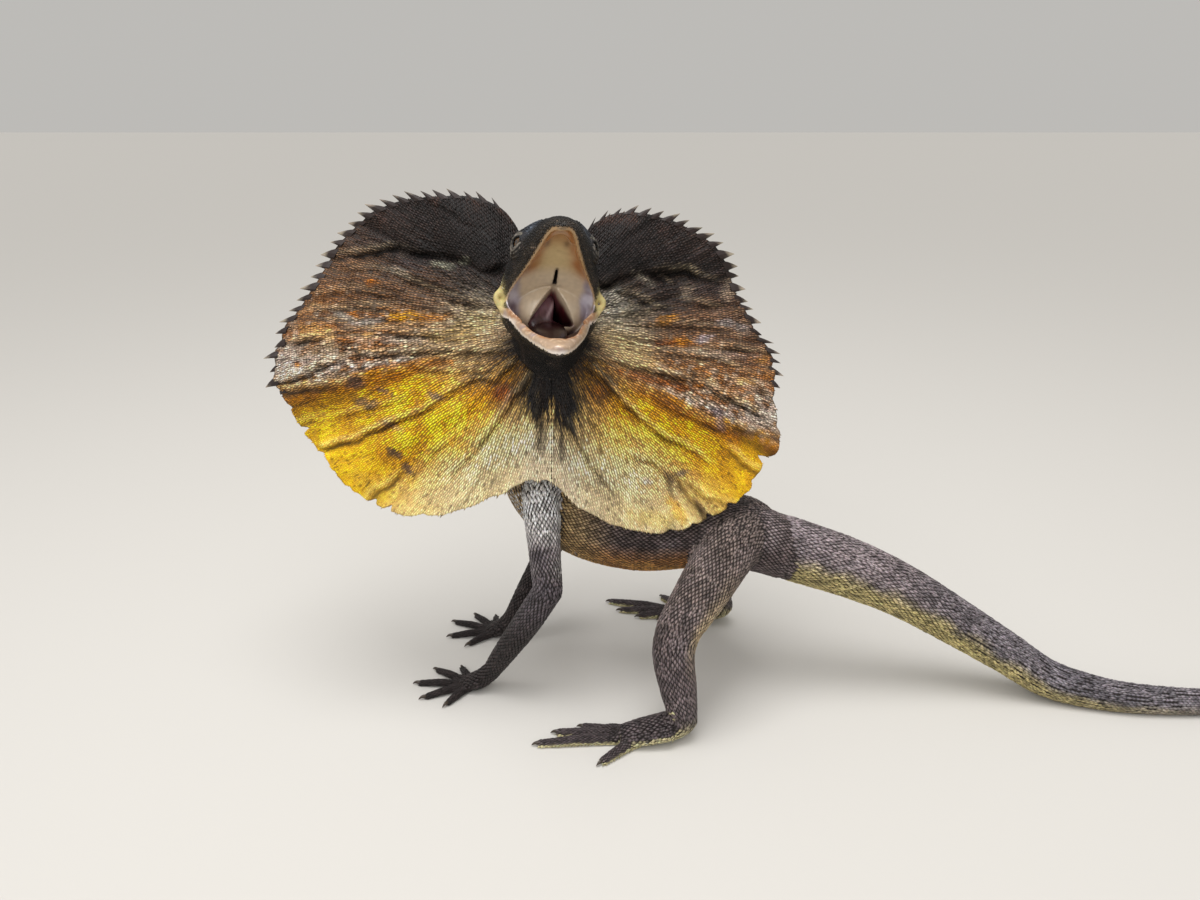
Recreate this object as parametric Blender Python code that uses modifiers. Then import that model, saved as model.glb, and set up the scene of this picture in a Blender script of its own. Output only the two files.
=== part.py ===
"""A life-size frilled lizard standing with its mouth agape and its frill spread.

Metres, +Z up. The floor is z = 0, the tail points to +X and the open mouth faces -Y.
The flesh is lofted whole, fused, carved, and then parted into its nodes with thin cuts.
"""

import math

import bmesh
import bpy
from mathutils import Matrix, Vector

MM = 0.001
GAP = 0.3 * MM
ORIGIN_SHIFT = Vector((-169.78, 10.9, 0.0)) * MM

# Fused flesh: grain of the fusing, smoothing passes, grain once the mouth is carved, and the faces of the
# copy that cuts its neighbours
FUSE_GRAIN = 1.15 * MM
SMOOTH_PASSES = 5
LIP_GRAIN = 1.0 * MM
GROWN_FACES = 12000
SECTION_SIDES = 28
FLOOR_CUT = (1.4, 0.8, 0.03)

# Trunk and neck from the vent to the skull: place, half width, half height, all in mm
TRUNK = [
    ((101, -21.0, 82.5), 16.5, 16.5),
    ((88, -19.5, 87.0), 18.0, 17.5),
    ((74, -17.0, 90.5), 20.0, 18.5),
    ((49, -13.5, 90.5), 22.0, 20.5),
    ((22, -10.0, 90.5), 25.0, 23.5),
    ((-5, -6.0, 96.0), 25.0, 24.0),
    ((-25, -3.0, 108.0), 23.0, 22.5),
    ((-33, 1.0, 125.0), 22.5, 22.0),
    ((-32, 2.0, 144.0), 20.5, 20.5),
    ((-29, 0.0, 164.0), 19.0, 19.0),
    ((-27, -5.0, 184.0), 18.5, 18.5),
    ((-25.5, -12.0, 199.0), 19.0, 19.0),
    ((-25, -20.0, 209.0), 19.0, 18.0),
]

# Tail from the vent to the tip: place and radius in mm, on the floor from the eighth row on
TAIL = [
    ((88, -19.5, 87.0), 16.5),
    ((104, -20.5, 82.3), 16.9),
    ((136, -22.5, 71.8), 15.9),
    ((165, -24.5, 59.0), 14.4),
    ((199, -28.5, 39.6), 12.6),
    ((223, -33.0, 25.6), 11.3),
    ((245, -37.5, 12.6), 10.3),
    ((267, -44.0, 8.2), 9.0),
    ((290, -49.0, 7.0), 7.8),
    ((324, -50.5, 6.0), 6.8),
    ((362, -47.5, 5.2), 5.9),
    ((404, -38.0, 4.3), 5.0),
    ((448, -17.0, 3.3), 3.9),
    ((482, 15.0, 2.3), 2.9),
    ((506, 56.0, 1.5), 2.0),
]

# Legs as joint places and radii in mm; the feet follow from the ankle or wrist
LEGS = {
    "foreleg_left": {
        "upper": [((-29, -14, 121), 11), ((-31, -25, 113), 10), ((-29, -37, 92), 8.6), ((-27, -46, 71), 7.8)],
        "lower": [((-27, -46, 71), 7.8), ((-39, -43, 50), 7.6), ((-52, -37, 28), 6.4), ((-60, -33, 14), 5.2)],
        "palm": [((-60, -33, 14), 5.2), ((-66, -31.5, 8), 5.4), ((-72, -30, 4.6), 5.0), ((-77, -29, 3.4), 3.6)],
        "heading": 172.0,
        "digits": [(-58, 14), (-28, 22), (2, 25), (30, 21), (62, 14)],
        "digit_radius": 2.4,
    },
    "foreleg_right": {
        "upper": [((-28, 10, 120), 11), ((-29, 20, 112), 10), ((-26, 33, 92), 8.6), ((-22, 42, 72), 7.8)],
        "lower": [((-22, 42, 72), 7.8), ((-33, 36, 51), 7.6), ((-46, 28, 28), 6.4), ((-54, 24, 14), 5.2)],
        "palm": [((-54, 24, 14), 5.2), ((-59, 24.5, 8), 5.4), ((-64, 26, 4.6), 5.0), ((-68.5, 28, 3.4), 3.6)],
        "heading": 156.0,
        "digits": [(62, 14), (30, 22), (-2, 25), (-30, 21), (-58, 14)],
        "digit_radius": 2.4,
    },
    "hindleg_left": {
        "upper": [((80, -18, 92), 16), ((70, -30, 90), 15.5), ((55, -48, 76), 14), ((40, -64, 60), 11.5)],
        "lower": [((40, -64, 60), 11.5), ((37, -69, 48), 10.8), ((40, -72, 28), 9.4), ((43, -73, 12), 7.2)],
        "palm": [((43, -73, 12), 7.6), ((36, -74, 8.2), 7.4), ((22, -76, 6.2), 6.8), ((10, -77.5, 4.6), 5.2)],
        "heading": 184.0,
        "digits": [(-34, 14), (-22, 27), (-11, 39), (0, 48), (36, 22)],
        "digit_radius": 2.9,
    },
    "hindleg_right": {
        "upper": [((82, -16, 92), 16), ((76, -4, 91), 15.5), ((66, 16, 80), 14), ((56, 34, 64), 11.5)],
        "lower": [((56, 34, 64), 11.5), ((60, 40, 50), 10.8), ((70, 42, 30), 9.4), ((77, 43, 12), 7.2)],
        "palm": [((77, 43, 12), 7.6), ((71, 45, 8.2), 7.4), ((58, 49, 6.2), 6.8), ((47, 52.5, 4.6), 5.2)],
        "heading": 162.0,
        "digits": [(34, 14), (22, 27), (11, 39), (0, 48), (-36, 22)],
        "digit_radius": 2.9,
    },
}
# Along a digit: share of its length, height of its middle line and share of its radius
DIGIT = [(0.0, 1.2, 1.15), (0.3, 1.15, 1.0), (0.55, 1.3, 1.0), (0.8, 0.95, 0.9), (1.0, 0.6, 0.78)]
DIGIT_HEIGHT = 2.16 * MM
DIGIT_ROOT = 6.0
SOLE_SPREAD = (1.3, 0.85)
CLAW = {
    "length": 3.4 * MM, "root": 1.6 * MM, "rise": 0.1 * MM, "tip": 0.35 * MM, "radius": 1.25 * MM,
    "sides": 5,
}

# Head: the hinge of the jaws, the turn and roll of the head, and how far each jaw points above the level
HINGE = Vector((-24.8, -26.8, 212.0)) * MM
HEAD_TURN = math.radians(8)
HEAD_ROLL = math.radians(4.5)
SKULL_RISE = math.radians(50)
JAW_RISE = math.radians(-3.5)

# Skull and jaw along their own line from the hinge, in mm: forward, half width, up and down from the
# widest line, and the level of that line above the lips
SKULL = [
    (-15, 14, 13, 10, 4), (-9, 19.5, 16, 12, 5), (-2, 23.5, 18.5, 13, 6), (7, 24, 19.5, 14, 7),
    (16, 22.6, 19.2, 15, 7.8), (25, 20.3, 18, 14.2, 9), (33, 18.0, 16, 12.4, 9),
    (40, 15.8, 13.9, 10.6, 8.1), (47, 12.4, 10.2, 8.3, 6.4), (53, 9.4, 7.3, 6.6, 4.7),
    (57.5, 6.4, 4.7, 5.1, 3.5), (60, 3.0, 2, 3.6, 2.6),
]
JAW = [
    (-10, 16.8, 8, 12, -3), (-2, 20.6, 6, 13, -2), (7, 20.0, 5, 12.5, -1), (16, 18.1, 4, 11, -1),
    (25, 15.9, 3.5, 9.5, -1), (34, 13.3, 3, 8, -1), (42, 10.5, 3, 6.8, -1), (48, 8.0, 2.8, 5.8, -1),
    (53, 5.4, 2.4, 4.6, -1), (56.5, 2.4, 1.6, 2.8, -1),
]
# What the open mouth takes out of them, on the same two lines
PALATE = [
    (-6, 13, 5, 16, 0), (3, 20, 6, 16, 0), (12, 20.2, 7, 15, 0), (22, 16.8, 7.5, 14, 0),
    (31, 13.2, 7, 13, 0), (39, 10.2, 6, 12, 0), (46, 7.9, 5, 11, 0), (52, 6.1, 4, 10, 0),
    (56.5, 4.0, 2.6, 10, 0), (58, 1.8, 1.4, 8, 0),
]
MOUTH_FLOOR = [
    (-6, 12, 15, 6, 0), (3, 16.0, 14, 7.5, 0), (12, 15.4, 13, 7.5, 0), (22, 13.3, 12, 6.8, 0),
    (31, 11.0, 11, 5.4, 0), (37, 9.0, 10, 3.8, 0), (43, 6.0, 9, 2.4, 0), (47, 2.8, 8, 1.2, 0),
]
CHEEK = {"place": (3, 0), "size": (23.6, 15.0, 18.0)}
THROAT_HOLLOW = {"place": (-6, 0), "size": (12.0, 11.0, 12.0)}
GULLET = {"place": (6, -9), "size": (18.0, 20.0, 9.0)}
EYE = {"forward": 33.0, "up": 12.4, "side": 14.2, "radius": 5.0}
# Which way the eyes look, as shares to the side, forward and up, and the ring of lids round each
EYE_OUT = (0.84, 0.53, -0.06)
LID = {"ring": 5.3, "thick": 1.7, "out": 1.6, "flat": 0.82, "beads": 16}
# The ridge from the brow to the snout on the skull, and the skin at the mouth's corner on the line between
# the jaws: side, forward, up and radius
BROW = [(15.6, 12, 20.0, 2.0), (17.0, 22, 20.6, 2.8), (16.4, 31, 18.6, 2.6), (12.6, 41, 14.6, 2.2),
        (9.0, 49, 10.8, 1.8), (6.8, 55, 7.2, 1.1)]
CORNER = [
    (21.6, 3, 13.5, 1.2), (23.4, 4, 9.5, 1.7), (26.2, 4.8, 5.6, 1.6), (23.6, 4.2, 1.4, 1.7),
    (21.6, 4, -2.4, 1.2),
]
NOSTRIL = {"forward": 53.0, "up": 9.2, "side": 7.4, "radius": 1.3}
EAR = {"forward": 1.0, "up": 9.0, "side": 24.5, "size": (2.1, 3.4, 4.0)}
TONGUE = [(-4, 4, 2), (4, 7, 3.4), (12, 8, 4), (20, 7, 3.6), (27, 4.5, 2.4), (31, 2, 1.2)]

# Frill: centre on the neck, the rise of the line it faces, and its outline as angle from straight down
# and reach in mm, for the animal's right (towards -X) and left (towards +X) halves
FRILL_CENTRE = Vector((-24.6, -13.7, 204.3)) * MM
FRILL_RISE = math.radians(20)
FRILL_TURN = math.tan(math.radians(4))
FRILL_ROOT = 13.0 * MM
FRILL_COLUMNS = 50
FRILL_ROWS = 9
FRILL_THICK = (2.0 * MM, 1.1 * MM)
OUTLINE = {
    "frill_right": [
        (0, 80), (8, 80), (20, 94), (30, 111), (40, 124), (50, 131), (60, 133), (70, 138), (78, 141),
        (83, 139), (87, 136.5), (90, 133.5), (94, 127.8), (101, 120.7), (109, 118.3), (115, 114.3),
        (121, 109.6), (127, 102.2), (133, 93.8), (139, 85), (146, 78), (153, 70), (158, 61.5),
        (162, 47),
    ],
    "frill_left": [
        (0, 80), (8, 93), (20, 110), (30, 122), (40, 128), (50, 132.5), (55, 130.5), (58, 130.5),
        (61, 133.8), (64, 131), (67, 126), (74, 119.3), (80, 118), (84, 114.5), (90, 105.8),
        (96, 101.4), (101, 98.6), (110, 97.6), (117, 94.8), (124, 88.5), (130, 83.7), (138, 76.3),
        (146, 70), (153, 63), (158, 55), (162, 46),
    ],
}
# How far the frill leans back for each metre of reach, by angle from straight down
LEAN = [(0, 0.05), (30, 0.05), (60, 0.09), (90, 0.13), (120, 0.12), (156, 0.08), (162, 0.08)]
# Folds: angle at the root and at the rim, height towards the viewer in mm, width below and above in
# degrees, and the share of the reach where the fold starts
FOLDS = {
    "frill_right": [
        (70, 77, 9.0, 3.5, 24, 0.12), (33, 58, 4.0, 4.0, 7, 0.20), (22, 27, 2.4, 5.0, 5, 0.25),
        (62, 68, 2.2, 2.2, 3, 0.62), (44, 44, -3.0, 3.0, 3, 0.62), (48, 51, 1.6, 2.5, 3, 0.66),
        (36, 37, 1.6, 3.0, 3, 0.66), (142, 115, -5.0, 9.0, 8, 0.10), (150, 138, 3.5, 14, 14, 0.15),
        (90, 96, -2.5, 5.0, 5, 0.35), (0, 0, -2.5, 5.0, 5, 0.05),
    ],
    "frill_left": [
        (50, 64, 8.5, 3.5, 24, 0.12), (41, 48, 3.6, 4.0, 6, 0.20), (13, 22, 3.2, 4.0, 6, 0.20),
        (36, 38, -3.2, 2.4, 2.4, 0.55), (34, 34.5, 2.2, 2.0, 2.0, 0.60), (43, 43, 2.0, 2.2, 2.2, 0.62),
        (56, 56.5, 2.6, 2.2, 3, 0.60), (60, 60, -1.8, 1.8, 1.8, 0.66), (140, 106, -5.0, 9.0, 8, 0.10),
        (150, 136, 3.2, 14, 14, 0.15), (84, 84, -2.2, 5.0, 5, 0.40), (0, 0, -2.5, 5.0, 5, 0.05),
    ],
}
# Spines of the rim: first and last angle, spacing, height, radius at the root and how deep that root is
# sunk; then the least size, how much larger the middle ones are and how much they vary, and the lean
# away from the nape
SPINES = {
    "first": 76.0, "last": 159.0, "step": 8.2 * MM, "height": 6.2 * MM, "radius": 2.3 * MM,
    "root": 1.8 * MM, "sides": 4,
}
SPINE_SIZE = (0.72, 0.28, 0.1)
SPINE_LEAN = 0.36

# Cuts that part the fused flesh: place and facing in mm, and the radius of the cut
CUTS = [
    ((92, -20, 86), (0.95, -0.1, -0.28), 27), ((160, -24.2, 61.4), (0.92, -0.07, -0.39), 22),
    ((234, -35.2, 19), (0.84, -0.18, -0.51), 19), ((333, -50.3, 6.0), (1.0, 0.02, 0), 14),
    ((427, -28.5, 4.0), (0.89, 0.45, 0), 10), ((-33, 1, 131), (-0.1, 0.05, 1), 30),
    ((-30, -35.0, 96), (0.08, -0.5, -0.87), 13), ((-27, -46, 71), (-0.28, -0.1, -0.95), 12),
    ((-60, -33, 14), (-0.62, 0.2, -0.76), 9.5), ((-27, 30.5, 97), (0.1, 0.5, -0.86), 13),
    ((-22, 42, 72), (-0.2, -0.02, -0.97), 12), ((-54, 24, 14), (-0.62, -0.1, -0.78), 9.5),
    ((54.5, -49, 75.5), (-0.55, -0.66, -0.51), 17.5), ((40, -64, 60), (-0.45, -0.5, -0.74), 14.5),
    ((43, -73, 13), (-0.2, -0.05, -0.98), 12), ((62.5, 22, 75.5), (-0.38, 0.69, -0.61), 17.5),
    ((56, 34, 64), (-0.1, 0.55, -0.83), 14.5), ((75.5, 43, 16.5), (-0.22, 0.03, -0.97), 13),
]
# The cut behind the head, on the frill's facing line, and the cut between skull and jaw, on the line
# between them
HEAD_CUT = {"forward": 9.0, "radius": 40.0}
JAW_CUT = {"level": -1.0, "back": -30.0, "front": 40.0, "width": 62.0}

# The nodes, each named by a place inside it, in mm
NODE_SEEDS = {
    "torso": (22, -10, 90), "neck": (-30, 0, 160), "tail_base": (125, -22, 77), "tail_fore": (198, -28, 41),
    "tail_middle": (284, -44, 12), "tail_rear": (380, -43, 5), "tail_tip": (468, 14, 2.6),
    "upper_arm_left": (-29, -37, 90), "forearm_left": (-42, -42, 46), "hand_left": (-70, -31, 6),
    "upper_arm_right": (-26, 33, 92), "forearm_right": (-36, 34, 46), "hand_right": (-62, 26, 6),
    "thigh_left": (50, -54, 70), "shin_left": (39, -71, 34), "foot_left": (24, -76, 5),
    "thigh_right": (63, 22, 75), "shin_right": (66, 41, 38), "foot_right": (60, 48, 5),
}
# Triangles that each kind of node is thinned to
NODE_FACES = {
    "head": 2250, "lower_jaw": 950, "torso": 1010, "neck": 440, "tail": 255, "upper_arm": 180,
    "forearm": 220, "hand": 380, "thigh": 230, "shin": 250, "foot": 430, "tongue": 240,
}
COLOURS = {
    "hide": (0.135, 0.115, 0.098, 1.0), "frill_skin": (0.62, 0.38, 0.08, 1.0),
    "mouth_skin": (0.72, 0.52, 0.40, 1.0), "eye_black": (0.02, 0.015, 0.01, 1.0),
}


def clear_scene():
    for obj in list(bpy.data.objects):
        bpy.data.objects.remove(obj, do_unlink=True)


def new_collection(name):
    collection = bpy.data.collections.new(name)
    bpy.context.scene.collection.children.link(collection)
    return collection


def finish_material(name, roughness):
    material = bpy.data.materials.new(name)
    material.use_nodes = True
    shader = material.node_tree.nodes["Principled BSDF"]
    shader.inputs["Base Color"].default_value = COLOURS[name]
    shader.inputs["Roughness"].default_value = roughness
    shader.inputs["Metallic"].default_value = 0.0
    material.diffuse_color = COLOURS[name]
    return material


def add_object(name, mesh, collection):
    obj = bpy.data.objects.new(name, mesh)
    collection.objects.link(obj)
    return obj


def object_from(bm, name, collection):
    """A mesh object from a bmesh, with its faces pointing out."""
    bmesh.ops.recalc_face_normals(bm, faces=bm.faces)
    mesh = bpy.data.meshes.new(name)
    bm.to_mesh(mesh)
    bm.free()
    return add_object(name, mesh, collection)


def bake(obj):
    """Applies an object's modifiers."""
    bpy.context.view_layer.update()
    graph = bpy.context.evaluated_depsgraph_get()
    mesh = bpy.data.meshes.new_from_object(obj.evaluated_get(graph))
    obj.modifiers.clear()
    obj.data = mesh
    return obj


def boolean(obj, other, operation, solver="EXACT"):
    """Joins or cuts obj with an object, or with all the closed meshes of a collection."""
    modifier = obj.modifiers.new(operation.lower(), "BOOLEAN")
    modifier.operation = operation
    modifier.solver = solver
    if isinstance(other, bpy.types.Collection):
        modifier.operand_type = "COLLECTION"
        modifier.collection = other
    else:
        modifier.object = other
    return bake(obj)


def keep_largest(obj):
    """Keeps the largest closed surface of a mesh, so that a fused node stays one body."""
    bm = bmesh.new()
    bm.from_mesh(obj.data)
    islands = face_islands(bm)
    islands.sort(key=len, reverse=True)
    for faces in islands[1:]:
        bmesh.ops.delete(bm, geom=faces, context="FACES")
    bmesh.ops.delete(bm, geom=[v for v in bm.verts if not v.link_faces], context="VERTS")
    bm.to_mesh(obj.data)
    bm.free()
    return obj


def face_islands(bm):
    """The faces of each separate surface."""
    seen, islands = set(), []
    for start in bm.faces:
        if start in seen:
            continue
        stack, island = [start], []
        seen.add(start)
        while stack:
            face = stack.pop()
            island.append(face)
            for edge in face.edges:
                for near in edge.link_faces:
                    if near not in seen:
                        seen.add(near)
                        stack.append(near)
        islands.append(island)
    return islands


def blend(points, share):
    """A value on the smooth curve through four evenly spaced values, between the middle two."""
    before, start, end, after = points
    return 0.5 * (
        2 * start + (end - before) * share + (2 * before - 5 * start + 4 * end - after) * share**2
        + (3 * start - before - 3 * end + after) * share**3
    )


def smooth_rows(rows, steps):
    """Rows of numbers filled in with steps rows for each given one, along one smooth curve."""
    filled = []
    for i in range(len(rows) - 1):
        around = [rows[max(i - 1, 0)], rows[i], rows[i + 1], rows[min(i + 2, len(rows) - 1)]]
        for j in range(steps):
            filled.append([blend(values, j / steps) for values in zip(*around)])
    filled.append(list(rows[-1]))
    return filled


def smoothstep(low, high, value):
    share = min(1.0, max(0.0, (value - low) / (high - low)))
    return share * share * (3 - 2 * share)


def read_profile(profile, at):
    """The value of a list of (place, value) pairs at a place, along one smooth curve."""
    places = [row[0] for row in profile]
    i = max(0, min(len(places) - 2, sum(place <= at for place in places) - 1))
    share = (at - places[i]) / (places[i + 1] - places[i])
    last = len(profile) - 1
    values = [profile[max(i - 1, 0)][1], profile[i][1], profile[i + 1][1], profile[min(i + 2, last)][1]]
    return blend(values, min(1.0, max(0.0, share)))


def loft(bm, sections):
    """A closed body through sections of (centre, side, up, half width, height up, height down)."""
    previous = None
    for centre, side, up, half_width, rise, drop in sections:
        ring = bmesh.ops.create_circle(bm, segments=SECTION_SIDES, radius=1.0)["verts"]
        for vert in ring:
            across, height = vert.co.x, vert.co.y
            vert.co = centre + side * (across * half_width) + up * (height * (rise if height > 0 else drop))
        edges = [edge for edge in {e for v in ring for e in v.link_edges} if len(edge.link_faces) == 0]
        if previous is None:
            bmesh.ops.contextual_create(bm, geom=ring)
            edges = list({e for v in ring for e in v.link_edges})
        else:
            bmesh.ops.bridge_loops(bm, edges=previous + edges)
        previous = edges
        last_ring = ring
    bmesh.ops.contextual_create(bm, geom=last_ring)


def sweep(bm, rows, steps):
    """Lofts round or oval sections along a line of ((x, y, z), half width, half height) rows in mm."""
    flat = [list(row[0]) + [row[1], row[-1]] for row in rows]
    flat = smooth_rows(flat, steps)
    centres = [Vector(row[:3]) * MM for row in flat]
    sections = []
    for i, row in enumerate(flat):
        forward = (centres[min(i + 1, len(flat) - 1)] - centres[max(i - 1, 0)]).normalized()
        side = forward.cross(Vector((0, 0, 1)))
        side = side.normalized() if side.length > 0.35 else Vector((0, 1, 0)).cross(forward).cross(forward)
        side.normalize()
        up = side.cross(forward)
        sections.append((centres[i], side, up, row[3] * MM, row[4] * MM, row[4] * MM))
    loft(bm, sections)


def ellipsoid(bm, centre, axes, size, segments=24):
    """A closed ellipsoid with its half sizes in mm along three axes."""
    turn = Matrix((axes[0], axes[1], axes[2])).transposed().to_4x4()
    scale = Matrix.Diagonal((size[0] * MM, size[1] * MM, size[2] * MM, 1.0))
    matrix = Matrix.Translation(centre) @ turn @ scale
    bmesh.ops.create_uvsphere(bm, u_segments=segments, v_segments=segments // 2, radius=1.0, matrix=matrix)


def cone(bm, base, tip, radius, sides):
    """A closed pointed cone from its base to its tip."""
    along = tip - base
    turn = along.to_track_quat("Z", "Y").to_matrix().to_4x4()
    matrix = Matrix.Translation((base + tip) / 2) @ turn
    bmesh.ops.create_cone(
        bm, cap_ends=True, segments=sides, radius1=radius, radius2=radius * 0.12, depth=along.length,
        matrix=matrix,
    )


def head_axes(rise):
    """The forward, side and up directions of a jaw that points so far above the level."""
    level_side = Vector((math.cos(HEAD_TURN), math.sin(HEAD_TURN), 0.0))
    ahead = Vector((math.sin(HEAD_TURN), -math.cos(HEAD_TURN), 0.0))
    crown = Vector((0.0, 0.0, 1.0)) * math.cos(HEAD_ROLL) + level_side * math.sin(HEAD_ROLL)
    forward = ahead * math.cos(rise) + crown * math.sin(rise)
    up = crown * math.cos(rise) - ahead * math.sin(rise)
    return forward, forward.cross(up) * -1, up


def head_point(rise, forward_mm, side_mm, up_mm):
    forward, side, up = head_axes(rise)
    return HINGE + (forward * forward_mm + side * side_mm + up * up_mm) * MM


def jaw_loft(bm, rows, rise):
    """Lofts the skull, the jaw or the hollow of one of them along its line from the hinge."""
    forward, side, up = head_axes(rise)
    sections = []
    for reach, half_width, above, below, level in smooth_rows(rows, 3):
        centre = HINGE + (forward * reach + up * level) * MM
        sections.append((centre, side, up, half_width * MM, above * MM, below * MM))
    loft(bm, sections)


def mouth_axes():
    return head_axes((SKULL_RISE + JAW_RISE) / 2)


def mouth_ellipsoid(bm, shape):
    """An ellipsoid placed forward and up along the line between the two jaws."""
    forward, side, up = mouth_axes()
    centre = HINGE + (forward * shape["place"][0] + up * shape["place"][1]) * MM
    ellipsoid(bm, centre, (side, forward, up), shape["size"])


def add_eye_rims(bm):
    """The ring of lids round each eye, the ridge of the brow and the skin at the corner of the mouth."""
    forward, side, up = head_axes(SKULL_RISE)
    for hand in (-1, 1):
        out = (side * hand * EYE_OUT[0] + forward * EYE_OUT[1] + up * EYE_OUT[2]).normalized()
        centre = head_point(SKULL_RISE, EYE["forward"], EYE["side"] * hand, EYE["up"]) + out * LID["out"] * MM
        along = out.cross(up).normalized()
        across = out.cross(along)
        for i in range(LID["beads"]):
            angle = 2 * math.pi * i / LID["beads"]
            offset = along * math.cos(angle) + across * math.sin(angle) * LID["flat"]
            place = centre + offset * LID["ring"] * MM
            ellipsoid(bm, place, (along, across, out), (LID["thick"],) * 3, segments=8)
        for rise, rows in ((SKULL_RISE, BROW), ((SKULL_RISE + JAW_RISE) / 2, CORNER)):
            line = [(tuple(head_point(rise, row[1], row[0] * hand, row[2]) / MM), row[3]) for row in rows]
            sweep(bm, line, 3)


def digit_points(leg, turn, length):
    """The points of one finger or toe from the ball of the foot to its tip, in metres."""
    ball = Vector(leg["palm"][2][0]) * MM
    heading = math.radians(leg["heading"] + turn)
    along = Vector((math.cos(heading), math.sin(heading), 0.0))
    reach = (length + DIGIT_ROOT) * MM
    points = []
    for share, height, _ in DIGIT:
        place = ball + along * reach * share
        place.z = DIGIT_HEIGHT * height
        points.append(place)
    return points


def add_leg(bm, leg):
    sweep(bm, leg["upper"], 5)
    sweep(bm, leg["lower"], 5)
    sweep(bm, leg["palm"], 4)
    wide, flat = SOLE_SPREAD
    sweep(bm, [(place, radius * wide, radius * flat) for place, radius in leg["palm"][1:]], 4)
    for place, radius in (leg["upper"][-1], leg["lower"][-1]):
        bmesh.ops.create_uvsphere(
            bm, u_segments=24, v_segments=12, radius=radius * MM,
            matrix=Matrix.Translation(Vector(place) * MM),
        )
    for turn, length in leg["digits"]:
        points = digit_points(leg, turn, length)
        radii = [leg["digit_radius"] * share for _, _, share in DIGIT]
        sweep(bm, [(tuple(point / MM), radius) for point, radius in zip(points, radii)], 4)


def fused_flesh(helpers):
    """Trunk, neck, head, tail and legs as one smooth closed mesh, with the mouth carved out."""
    bm = bmesh.new()
    sweep(bm, TRUNK, 5)
    sweep(bm, TAIL, 6)
    for leg in LEGS.values():
        add_leg(bm, leg)
    jaw_loft(bm, SKULL, SKULL_RISE)
    jaw_loft(bm, JAW, JAW_RISE)
    mouth_ellipsoid(bm, CHEEK)
    mouth_ellipsoid(bm, GULLET)
    add_eye_rims(bm)
    flesh = object_from(bm, "flesh", helpers)
    fuse(flesh, FUSE_GRAIN, SMOOTH_PASSES)
    hollow = bmesh.new()
    jaw_loft(hollow, PALATE, SKULL_RISE)
    jaw_loft(hollow, MOUTH_FLOOR, JAW_RISE)
    mouth_ellipsoid(hollow, THROAT_HOLLOW)
    hollow = object_from(hollow, "mouth_hollow", helpers)
    fuse(hollow, FUSE_GRAIN, 3)
    boolean(flesh, hollow, "DIFFERENCE", "MANIFOLD")
    keep_largest(flesh)
    return fuse(flesh, LIP_GRAIN, 2)


def fuse(obj, grain, passes):
    """Melts overlapping closed forms into one skin and softens the joins."""
    remesh = obj.modifiers.new("fuse", "REMESH")
    remesh.mode = "VOXEL"
    remesh.voxel_size = grain
    remesh.adaptivity = 0.0
    soften = obj.modifiers.new("soften", "SMOOTH")
    soften.factor = 0.5
    soften.iterations = passes
    return bake(obj)


def is_closed(mesh):
    bm = bmesh.new()
    bm.from_mesh(mesh)
    closed = all(len(edge.link_faces) == 2 for edge in bm.edges)
    bm.free()
    return closed


def thin_to(obj, faces):
    """Thins a mesh to about a number of triangles, and keeps it closed."""
    full = obj.data
    triangles = 2 * len(full.polygons) - sum(len(face.vertices) == 3 for face in full.polygons)
    for spare in (1.0, 1.04, 0.96, 1.1, 1.2):
        obj.data = full
        thin = obj.modifiers.new("thin", "DECIMATE")
        thin.ratio = min(1.0, faces * spare / triangles)
        thin.use_collapse_triangulate = True
        bake(obj)
        if is_closed(obj.data):
            break
    return obj


def cut_plate(bm, centre, facing, radius):
    """A thin round plate that leaves a gap of GAP where it cuts."""
    matrix = Matrix.Translation(centre) @ facing.to_track_quat("Z", "Y").to_matrix().to_4x4()
    bmesh.ops.create_cone(
        bm, cap_ends=True, segments=20, radius1=radius, radius2=radius, depth=GAP, matrix=matrix
    )


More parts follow.
